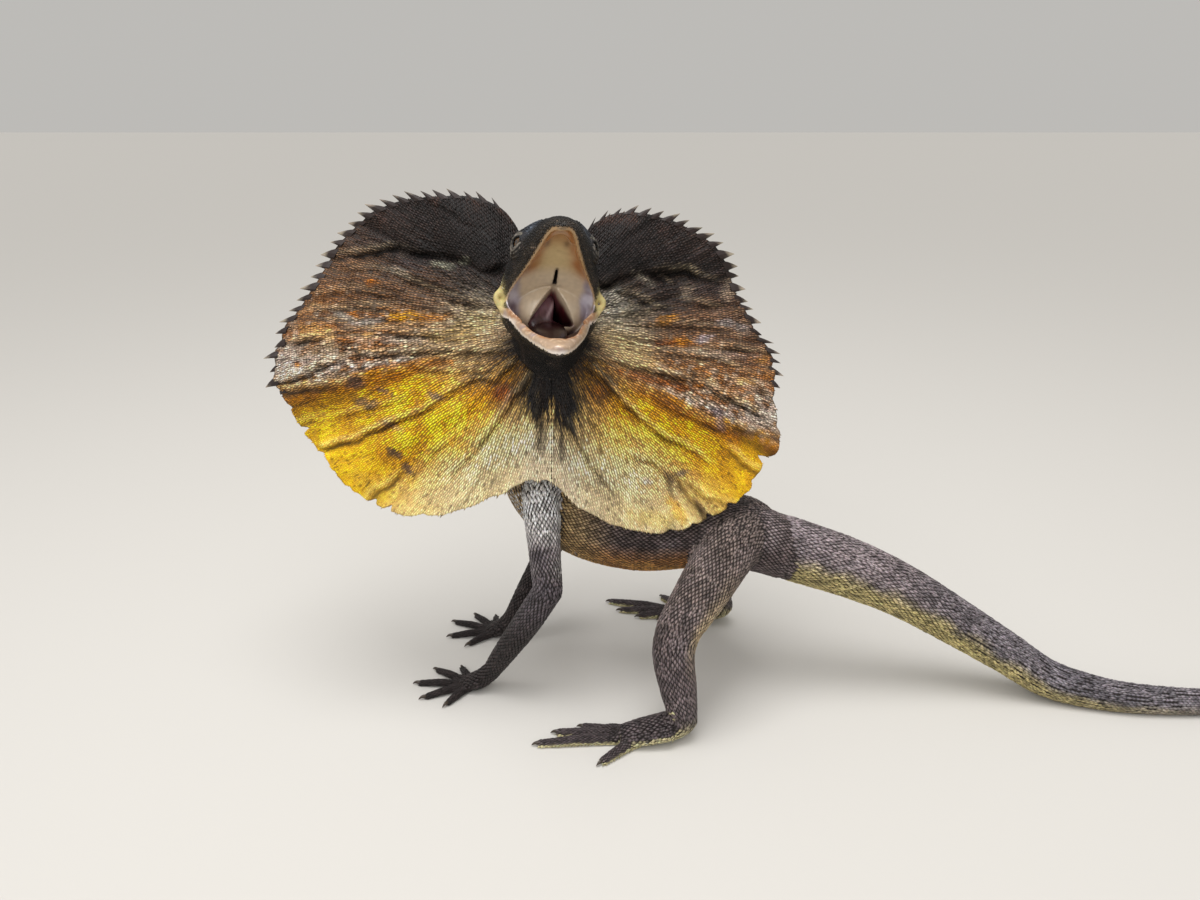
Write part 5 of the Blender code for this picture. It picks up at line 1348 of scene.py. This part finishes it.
def bodySites(tree, lines):
    # rings of scales along each line of flesh, set on the skin by rays, each spot kept by the nearest line
    samples = {}
    for name, rows in lines.items():
        rows = smoothRows(rows, 14)
        samples[name] = (rows[:, :3], rows[:, 3:].mean(axis=1))
    everyPoint = np.concatenate([points for points, _ in samples.values()])
    everyRadius = np.concatenate([radius for _, radius in samples.values()])
    owners = np.concatenate([np.full(len(s[0]), i) for i, s in enumerate(samples.values())])
    groups = {}
    for number, (name, rows) in enumerate(lines.items()):
        kind = next(k for k in ("trunk", "tail", "limb", "digit") if k in name)
        pitch, wide = bodyScales[kind]
        dense = smoothRows(rows, 60)
        gone = np.r_[0, np.cumsum(np.linalg.norm(np.diff(dense[:, :3], axis=0), axis=1))]
        count = int(gone[-1] / pitch)
        at = np.linspace(0, gone[-1], count)
        rings = np.c_[[np.interp(at, gone, dense[:, k]) for k in range(5)]].T
        centres = rings[:, :3] * mm + poseShift
        forward, side, up = lineFrames(centres)
        if kind == "trunk":
            forward = -forward
        hits = []
        for j in range(count):
            radius = rings[j, 3:].mean()
            around = max(6, 4 * round(2 * math.pi * radius / wide / 4))
            stagger = 0.0 if kind == "tail" and at[j] > 120 else 0.5 * (j % 2)
            for k in range(around):
                turn = 2 * math.pi * (k + stagger) / around
                ray = Vector(side[j] * math.cos(turn) + up[j] * math.sin(turn))
                place, normal, _, far = tree.ray_cast(Vector(centres[j]), ray, radius * 2.0 * mm)
                if place is not None and normal.dot(ray) > 0.2:
                    width = 2 * math.pi * far / mm / around
                    hits.append((*place, *normal, j / count, turn / 2 / math.pi, width, j))
        if not hits:
            continue
        hits = np.array(hits)
        mine = np.zeros(len(hits), bool)
        for start in range(0, len(hits), 2000):
            spot = (hits[start:start + 2000, :3] - poseShift) / mm
            gap = np.linalg.norm(spot[:, None] - everyPoint[None], axis=2) - everyRadius
            mine[start:start + 2000] = owners[np.argmin(gap, axis=1)] == number
        hits = hits[mine]
        if not len(hits):
            continue
        groups[name] = {
            "hits": hits, "along": forward[hits[:, 9].astype(int)], "pitch": pitch, "number": number,
            "kind": kind, "centres": centres, "forward": forward, "wide": wide, "count": count,
        }
    return groups


def scatter(points, order, cell, gap):
    # spots taken in turn, each kept where no earlier one is nearer than the gap
    taken, chosen = {}, []
    steps = (-1, 0, 1)
    for i in order:
        x, y, z = (int(v) for v in points[i] // cell)
        spots = [(x + a, y + b, z + c) for a in steps for b in steps for c in steps]
        close = [k for spot in spots for k in taken.get(spot, ())]
        if not close or (np.linalg.norm(points[close] - points[i], axis=1) > gap).all():
            taken.setdefault((x, y, z), []).append(i)
            chosen.append(i)
    return chosen


def fillJoints(groups, mesh):
    # scales for the spots that the rings miss at the bends, each laid like the nearest line of flesh
    sites = np.concatenate([group["hits"][:, :3] for group in groups.values()])
    tree = KDTree(len(sites))
    for i, place in enumerate(sites):
        tree.insert(place, i)
    tree.balance()
    points, normals = corners(mesh), vertexNormals(mesh)
    bare = [i for i, point in enumerate(points) if tree.find(point)[2] > 1.15 * mm and point[2] > 0.5 * mm]
    np.random.default_rng(41).shuffle(bare)
    chosen = scatter(points, bare, 1.3 * mm, 1.2 * mm)
    names = list(groups)
    middles = np.concatenate([groups[name]["centres"] for name in names])
    owner = np.concatenate([np.full(len(groups[name]["centres"]), k) for k, name in enumerate(names)])
    step = np.concatenate([np.arange(len(groups[name]["centres"])) for name in names])
    extra = {name: [] for name in names}
    for i in chosen:
        near = np.argmin(np.linalg.norm(middles - points[i], axis=1))
        group = groups[names[owner[near]]]
        share = step[near] / group["count"]
        row = (*points[i], *normals[i], share, (i % 97) / 97, group["wide"], step[near])
        extra[names[owner[near]]].append(row)
    for name, rows in extra.items():
        if rows:
            rows = np.array(rows)
            group = groups[name]
            group["hits"] = np.concatenate([group["hits"], rows])
            group["along"] = np.concatenate([group["along"], group["forward"][rows[:, 9].astype(int)]])
    print("joints filled with", len(chosen), "scales")


def bodyCoat(groups, rowCount):
    parts = {}
    for name, group in groups.items():
        hits = group["hits"]
        normal = unit(hits[:, 3:6])
        along = group["along"] - normal * (group["along"] * normal).sum(axis=1)[:, None]
        along = unit(along + np.random.default_rng(group["number"]).normal(0, 0.06, along.shape))
        count = len(hits)
        seed = group["number"] * 10
        colour = bodyTint(hits[:, :3], normal, name, hits[:, 6])
        row, column = divmod(group["number"], 6)
        cell = np.c_[(column + 0.04 + 0.9 * hits[:, 7]) / 6, (row + 0.04 + 0.9 * hits[:, 6]) / rowCount]
        height = bodyScales["height"] * min(1.0, group["pitch"] / 1.2) * mm
        if group["kind"] == "tail":
            height *= 1.7
        mottle = 1 + 0.3 * cloud(hits[:, :3], 0.0045, 1.5) + 0.25 * cloud(hits[:, :3], 0.011, 8.5)
        parts[name] = {
            "place": hits[:, :3], "along": along, "normal": normal,
            "length": group["pitch"] * 1.98 * varied(count, seed, 0.1) * mm,
            "width": hits[:, 8] * 0.95 * varied(count, seed + 1, 0.1) * mm,
            "height": height * varied(count, seed + 2, 0.3),
            "colour": colour * (varied(count, seed + 3, 0.5) * mottle * 1.12)[:, None], "unwrap": cell,
            "contrast": np.full(count, 2.1),
        }
    return parts


headScales = {"pitch": 1.15, "height": 0.34}


def headSites(skin, depth):
    # grains scattered evenly over the outside of the head, never closer than their own width
    mesh = skin.data
    points, normals = corners(mesh), vertexNormals(mesh)
    side, forward, up = headPlace(mouthAxes, points)
    lips = np.maximum(lipAmount(points, depth, "upper"), lipAmount(points, depth, "lower"))
    atCorner = (np.abs(side) >= 21.2) & (np.abs(up - 5) <= 6) & (forward >= 0) & (forward <= 8)
    outside = (depth > 1.2) & (lips < 0.3) & (forward > -34) & ~atCorner
    rng = np.random.default_rng(31)
    order = rng.permutation(np.flatnonzero(outside))
    pitch = headScales["pitch"] * mm
    chosen = np.array(scatter(points, order, pitch, pitch * 0.86))
    place, normal = points[chosen], normals[chosen]
    back = -skullAxes[1]
    along = back - normal * (normal @ back)[:, None]
    side, forward, up = headPlace(skullAxes, place)
    turn = np.arctan2(side, up - 6)
    flat = 0.5 + np.c_[np.sin(turn), np.cos(turn)] * ((75 - forward) / 260)[:, None]
    count = len(chosen)
    colour = headTint(place, depth[chosen])
    # here and there a pale grain: the pale edges of the scales, and painted glints of light on them
    light = varied(count, 4, 0.5) * np.where(varied(count, 9, 1) > 1.75, 3.4, 1.0)
    return {
        "place": place, "along": along, "normal": normal, "length": pitch * 1.15 * varied(count, 1, 0.12),
        "width": pitch * 1.05 * varied(count, 2, 0.12),
        "height": headScales["height"] * mm * varied(count, 3, 0.3),
        "colour": colour * light[:, None], "unwrap": flat, "contrast": np.full(count, 2.0),
    }


# Materials

def scaleMaterial(name, roughness, bumpSize, strength):
    # Reptile keratin: a dry, hard skin with a faint sheen on each scale; the colour lies in the scales
    material, tree, shader = newMaterial(name)
    shader.inputs["Specular IOR Level"].default_value = 0.3
    tint = addNode(tree, "ShaderNodeAttribute", attribute_name="tint")
    place = addNode(tree, "ShaderNodeTexCoord")
    grime = addNode(tree, "ShaderNodeTexNoise", {"Vector": place.outputs["Object"]},
                    Scale=1 / (bumpSize * mm), Detail=4.0)
    mix = addNode(tree, "ShaderNodeMix", data_type="RGBA", blend_type="MULTIPLY")
    mix.inputs["Factor"].default_value = 0.35
    tree.links.new(tint.outputs["Color"], mix.inputs["A"])
    tree.links.new(grime.outputs["Color"], mix.inputs["B"])
    ramp = addNode(tree, "ShaderNodeMapRange", {"Value": grime.outputs["Fac"]}, From_Min=0.3, From_Max=0.7,
                   To_Min=roughness - 0.08, To_Max=roughness + 0.1)
    bump = addNode(tree, "ShaderNodeBump", {"Height": grime.outputs["Fac"]},
                   Strength=strength, Distance=0.1 * mm)
    tree.links.new(mix.outputs["Result"], shader.inputs["Base Color"])
    tree.links.new(ramp.outputs["Result"], shader.inputs["Roughness"])
    tree.links.new(bump.outputs["Normal"], shader.inputs["Normal"])
    return material


def wetMaterial(name):
    # Moist mouth skin: smooth and wet, so it shines in small spots over soft colour
    material, tree, shader = newMaterial(name)
    tint = addNode(tree, "ShaderNodeAttribute", attribute_name="tint")
    place = addNode(tree, "ShaderNodeTexCoord")
    pores = addNode(tree, "ShaderNodeTexNoise", {"Vector": place.outputs["Object"]},
                    Scale=1 / (1.2 * mm), Detail=3.0)
    bump = addNode(tree, "ShaderNodeBump", {"Height": pores.outputs["Fac"]},
                   Strength=0.35, Distance=0.12 * mm)
    tree.links.new(tint.outputs["Color"], shader.inputs["Base Color"])
    tree.links.new(bump.outputs["Normal"], shader.inputs["Normal"])
    shader.inputs["Roughness"].default_value = 0.3
    shader.inputs["Coat Weight"].default_value = 0.35
    shader.inputs["Coat Roughness"].default_value = 0.15
    return material


frillHide = scaleMaterial("frillKeratin", 0.52, 0.8, 0.3)
bodyHide = scaleMaterial("bodyKeratin", 0.45, 0.7, 0.35)
headHide = scaleMaterial("headKeratin", 0.45, 0.6, 0.35)
skinHide = scaleMaterial("softHide", 0.6, 1.2, 0.5)
wetSkin = wetMaterial("moistMouthSkin")


def finishSkins():
    body = bodySkin.data
    points = corners(body)
    setTint(body, np.tile(toLinear("231c1a"), (len(points), 1)) * (1 + 0.3 * cloud(points, 0.01)[:, None]))
    body.materials.append(skinHide)
    body.shade_smooth()
    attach(bodySkin, "root")
    limbs = ["torso", "neck", "tail_base", "tail_fore", "tail_middle", "tail_rear", "tail_tip"]
    for part in ("upper_arm", "forearm", "hand", "thigh", "shin", "foot"):
        limbs += [part + "_left", part + "_right"]
    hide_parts(*limbs)

    head = headSkin.data
    points = corners(head)
    setTint(head, headTint(points, liningDepth))
    head.materials.clear()
    head.materials.append(wetSkin)
    head.materials.append(skinHide)
    wet = (liningDepth < 0.9) | (lipAmount(points, liningDepth, "lower") > 0.4)
    wet |= lipAmount(points, liningDepth, "upper") > 0.4
    for face in head.polygons:
        face.material_index = 0 if wet[face.vertices[0]] else 1
    head.shade_smooth()
    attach(headSkin, "root")
    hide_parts("head", "lower_jaw")
    print("stage: skins coloured")


finishSkins()


def makeFrills():
    trees = [surfaceTree(bodySkin), surfaceTree(headSkin)]
    for name, node in (("frillRight", "frill_right"), ("frillLeft", "frill_left")):
        field = makeField(name)
        sheet = makeFrillSkin(name, field)
        sheet.data.materials.append(skinHide)
        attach(sheet, "root")
        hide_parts(node)
        for front in (True, False):
            sites = frillSites(name, field, front)
            hidden = insideTree(trees[0], sites["place"]) | insideTree(trees[1], sites["place"])
            sites = keepSites(sites, ~hidden)
            makeCoat(name + ("Scales" if front else "BackScales"), leaf, sites, frillHide)
        makeSpines(name, field)
    print("stage: frill")


fringe = {"step": 1.7, "length": 2.7, "width": 1.7, "height": 0.9}


def fringeSites(lines):
    # a row of pointed cream scales along both lower edges of every hind toe and hind sole
    tree = surfaceTree(bodySkin)
    found = []
    for name, rows in lines.items():
        if "hindleg" not in name or name.endswith(("upper", "lower")):
            continue
        rows = smoothRows(rows, 20)
        gone = np.r_[0, np.cumsum(np.linalg.norm(np.diff(rows[:, :3], axis=0), axis=1))]
        at = np.arange(2.0, gone[-1] - 0.5, fringe["step"])
        rings = np.c_[[np.interp(at, gone, rows[:, k]) for k in range(5)]].T
        centres = rings[:, :3] * mm + poseShift
        forward, side, _ = lineFrames(centres)
        for hand in (-1, 1):
            for centre, ahead, aside, radius in zip(centres, forward, side, rings[:, 3]):
                low = centre.copy()
                low[2] = 1.1 * mm
                place, normal, _, _ = tree.ray_cast(Vector(low), Vector(aside * hand), radius * 2.2 * mm)
                if place is not None:
                    along = ahead * 0.8 + aside * hand * 0.55 + np.array((0, 0, -0.1))
                    found.append((*place, *along, *(np.array(normal) + np.array((0, 0, 0.35)))))
    found = np.array(found)
    found = found[~insideTree(tree, found[:, :3] + unit(found[:, 6:9]) * 0.5 * mm)]
    count = len(found)
    pale = np.random.default_rng(51).uniform(0, 1, count)
    colour = paint(np.tile(toLinear("8f8660"), (count, 1)), "ddd2a4", pale)
    middle = poseShift[:2] + np.array((40, -20)) * mm
    return {
        "place": found[:, :3], "along": found[:, 3:6], "normal": found[:, 6:9],
        "length": fringe["length"] * varied(count, 52, 0.25) * mm,
        "width": fringe["width"] * varied(count, 53, 0.2) * mm,
        "height": fringe["height"] * varied(count, 54, 0.2) * mm, "colour": colour,
        "unwrap": 0.5 + (found[:, :2] - middle) * 3, "contrast": np.ones(count),
    }


def makeBodyCoat():
    lines = lieLines()
    groups = bodySites(surfaceTree(bodySkin), lines)
    fillJoints(groups, bodySkin.data)
    parts = bodyCoat(groups, math.ceil(len(lines) / 6))
    coats = {"trunkScales": [], "tailScales": [], "forelegScales": [], "hindlegScales": []}
    for name, part in parts.items():
        key = next(k for k in ("trunk", "tail", "foreleg", "hindleg") if name.startswith(k))
        coats[key + "Scales"].append(part)
    for name, members in coats.items():
        makeCoat(name, leaf, joinSites(members), bodyHide)
    makeCoat("footFringe", leaf, fringeSites(limbLines()), bodyHide)
    print("stage: body scales")


def makeHeadCoat():
    sites = headSites(headSkin, liningDepth)
    makeCoat("headScales", grain, sites, headHide)
    print("stage: head scales")


# Eyes, tongue and claws

def makeEyes():
    for hand, name, node in ((-1, "eyeRight", "eye_right"), (1, "eyeLeft", "eye_left")):
        centre = onHead(skullAxes, eye["side"] * hand, eye["forward"], eye["up"]) + poseShift
        bm = bmesh.new()
        out = eyeOut(hand)
        along = unit(skullAxes[1] - out * (skullAxes[1] @ out))
        ellipsoid(bm, centre, (along, np.cross(out, along), out), (eye["radius"],) * 3, 48)
        ball = meshPiece(bm, name)
        points = corners(ball.data) - centre
        facing = unit(points) @ out
        angle = np.degrees(np.arccos(np.clip(facing, -1, 1)))
        tint = np.tile(toLinear("140c08"), (len(points), 1))
        tint = layer(tint, [
            ("4a3119", (1 - ease(30, 36, angle)) * 0.9),
            ("94703e", bell(angle, 18, 2.4) * 0.5),
            ("050403", 1 - ease(13, 16, angle)),
        ])
        setTint(ball.data, tint)
        # Cornea over iris: a wet, mirror-smooth ball
        material, tree, shader = newMaterial(name + "Cornea")
        colour = addNode(tree, "ShaderNodeAttribute", attribute_name="tint")
        tree.links.new(colour.outputs["Color"], shader.inputs["Base Color"])
        shader.inputs["Roughness"].default_value = 0.12
        shader.inputs["Coat Weight"].default_value = 1.0
        shader.inputs["Coat Roughness"].default_value = 0.03
        ball.data.materials.append(material)
        ball.data.shade_smooth()
        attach(ball, "root")
        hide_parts(node)


tongueShape = {
    # along the jaw: forward, half width, height; then the fold at its root: side, forward, up, half sizes
    "blade": [(-4, 4, 2), (4, 7, 3.4), (12, 8, 4), (20, 7, 3.6), (27, 4.5, 2.4), (31, 2, 1.2)],
    "root": [(-3.2, -4, 11, 3.6, 3.0), (-3.6, -1.5, 6, 6.2, 3.6), (-4.4, 0, 0, 6.6, 3.8),
             (-4.4, 2, -6, 6.0, 3.6), (-2.5, 3, -11, 4.5, 3.0)],
    "grain": 0.6,
}


def makeTongue():
    bm = bmesh.new()
    blade = [(reach, wide, high - 0.6, 3, -5.4) for reach, wide, high in tongueShape["blade"]]
    jawLoft(bm, blade, lowerAxes)
    sweep(bm, [mouthRow(*row) for row in tongueShape["root"]], 5, 24)
    tongue = fuse(meshPiece(bm, "tongue"), tongueShape["grain"] * mm, 4)
    points = corners(tongue.data) + poseShift
    setCorners(tongue.data, points)
    side, forward, up = headPlace(mouthAxes, points)
    tint = np.tile(toLinear("5c3a44"), (len(points), 1))
    tint = layer(tint, [
        ("b39a9e", bell(side, 1.6 - (4 - up) * 0.45, 0.9) * (1 - ease(4, 7, forward)) * 0.7),
        # painted shade: darker towards the bottom in vertical streaks, and over the blade lying forward
        # under the jaw
        ("280b0f", (1 - ease(-7, 3, up + 4.5 * cloud(points * (1, 1, 0.15), 0.0012))) * 0.95),
        ("1a0608", ease(3, 8, forward) * 0.92),
    ])
    setTint(tongue.data, tint)
    tongue.data.materials.append(wetSkin)
    tongue.data.shade_smooth()
    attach(tongue, "root")
    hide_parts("tongue")


claw = {
    "length": 3.9, "radius": 1.15, "sides": 10, "streaks": 1 / 0.9,
    # share of the length, rise in mm and share of the radius
    "shape": [(0, 0.3, 1.0), (0.3, 0.75, 0.95), (0.6, 0.7, 0.7), (0.85, 0.1, 0.4), (1.0, -0.5, 0.12)],
}


def makeClaws():
    bm = bmesh.new()
    for leg in legs.values():
        for turn, length in leg["digits"]:
            rows = np.array(digitRows(leg, turn, length))
            tip, before = rows[-1, :3], rows[-2, :3]
            ahead = tip - before
            ahead[2] = 0
            ahead = unit(ahead)
            start = tip - ahead * 1.4
            shape = []
            for share, rise, girth in claw["shape"]:
                place = start + ahead * (claw["length"] + 0.6) * share + np.array((0, 0, rise))
                place[2] = max(place[2], 0.35)
                radius = claw["radius"] * girth
                shape.append((*place, radius * 0.85, radius))
            sweep(bm, shape, 3, claw["sides"])
    claws = meshPiece(bm, "claws")
    points = corners(claws.data)
    points[:, 2] = np.maximum(points[:, 2], 0.05 * mm)
    setCorners(claws.data, points + poseShift)
    # Horn: dense and dark, polished by wear, with fine lengthwise streaks
    material, tree, shader = newMaterial("clawHorn")
    place = addNode(tree, "ShaderNodeTexCoord")
    streak = addNode(tree, "ShaderNodeTexNoise", {"Vector": place.outputs["Object"]},
                     Scale=1 / (claw["streaks"] * mm), Detail=3.0)
    ramp = addNode(tree, "ShaderNodeValToRGB", {"Fac": streak.outputs["Fac"]})
    ramp.color_ramp.elements[0].color = (*toLinear("120e0c"), 1)
    ramp.color_ramp.elements[1].color = (*toLinear("4a3c30"), 1)
    tree.links.new(ramp.outputs["Color"], shader.inputs["Base Color"])
    shader.inputs["Roughness"].default_value = 0.3
    claws.data.materials.append(material)
    claws.data.shade_smooth()
    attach(claws, "root")


spines = {"first": 76.0, "last": 159.0, "step": 6.9, "height": 6.0, "radius": 2.9, "lean": 0.42}


def makeSpines(name, field):
    # pointed scales along the upper rim that lean away from the nape, dark with horn-coloured tips
    bm = bmesh.new()
    tips = []
    angle, count = spines["first"], 0
    while angle < spines["last"]:
        spot = np.array([angle]), np.array([0.995])
        place, outward, normal = (sample(field[key], *spot)[0] for key in ("place", "outward", "normal"))
        ahead = sample(field["place"], np.array([min(angle + 1, frill["last"] - 0.1)]), spot[1])[0]
        around = ahead - place
        step = np.linalg.norm(around) / mm
        around = unit(around)
        size = 0.7 + 0.3 * math.sin(math.pi * min(1.0, (angle - 72) / 80)) + 0.12 * math.sin(count * 2.3)
        height = spines["height"] * size * mm
        shape = []
        for share, girth in ((0.0, 1.0), (0.25, 0.96), (0.5, 0.72), (0.75, 0.42), (1.0, 0.06)):
            point = place - outward * 1.6 * mm - around * spines["lean"] * share**1.7 * height
            point = point + outward * share * (height + 1.6 * mm)
            shape.append((point, girth * spines["radius"] * size * mm))
        loft(bm, [(Vector(p), Vector(around), Vector(normal), r, r * 0.4, r * 0.4) for p, r in shape], 8)
        tips.append(place)
        angle += spines["step"] / max(0.6, step)
        count += 1
    piece = meshPiece(bm, name + "Spines")
    points = corners(piece.data)
    far = np.sqrt(((points[:, None] - np.array(tips)[None]) ** 2).sum(axis=2)).min(axis=1) / mm
    tint = np.tile(toLinear("2b201d"), (len(points), 1))
    tint = paint(tint, "b8ab98", ease(3.6, 5.8, far) * 0.8)
    setTint(piece.data, tint)
    piece.data.materials.append(frillHide)
    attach(piece, "root")


makeFrills()
makeBodyCoat()
makeHeadCoat()
makeEyelids()
makeEyes()
makeTongue()
makeClaws()
print("stage: eyes, tongue, claws and spines")
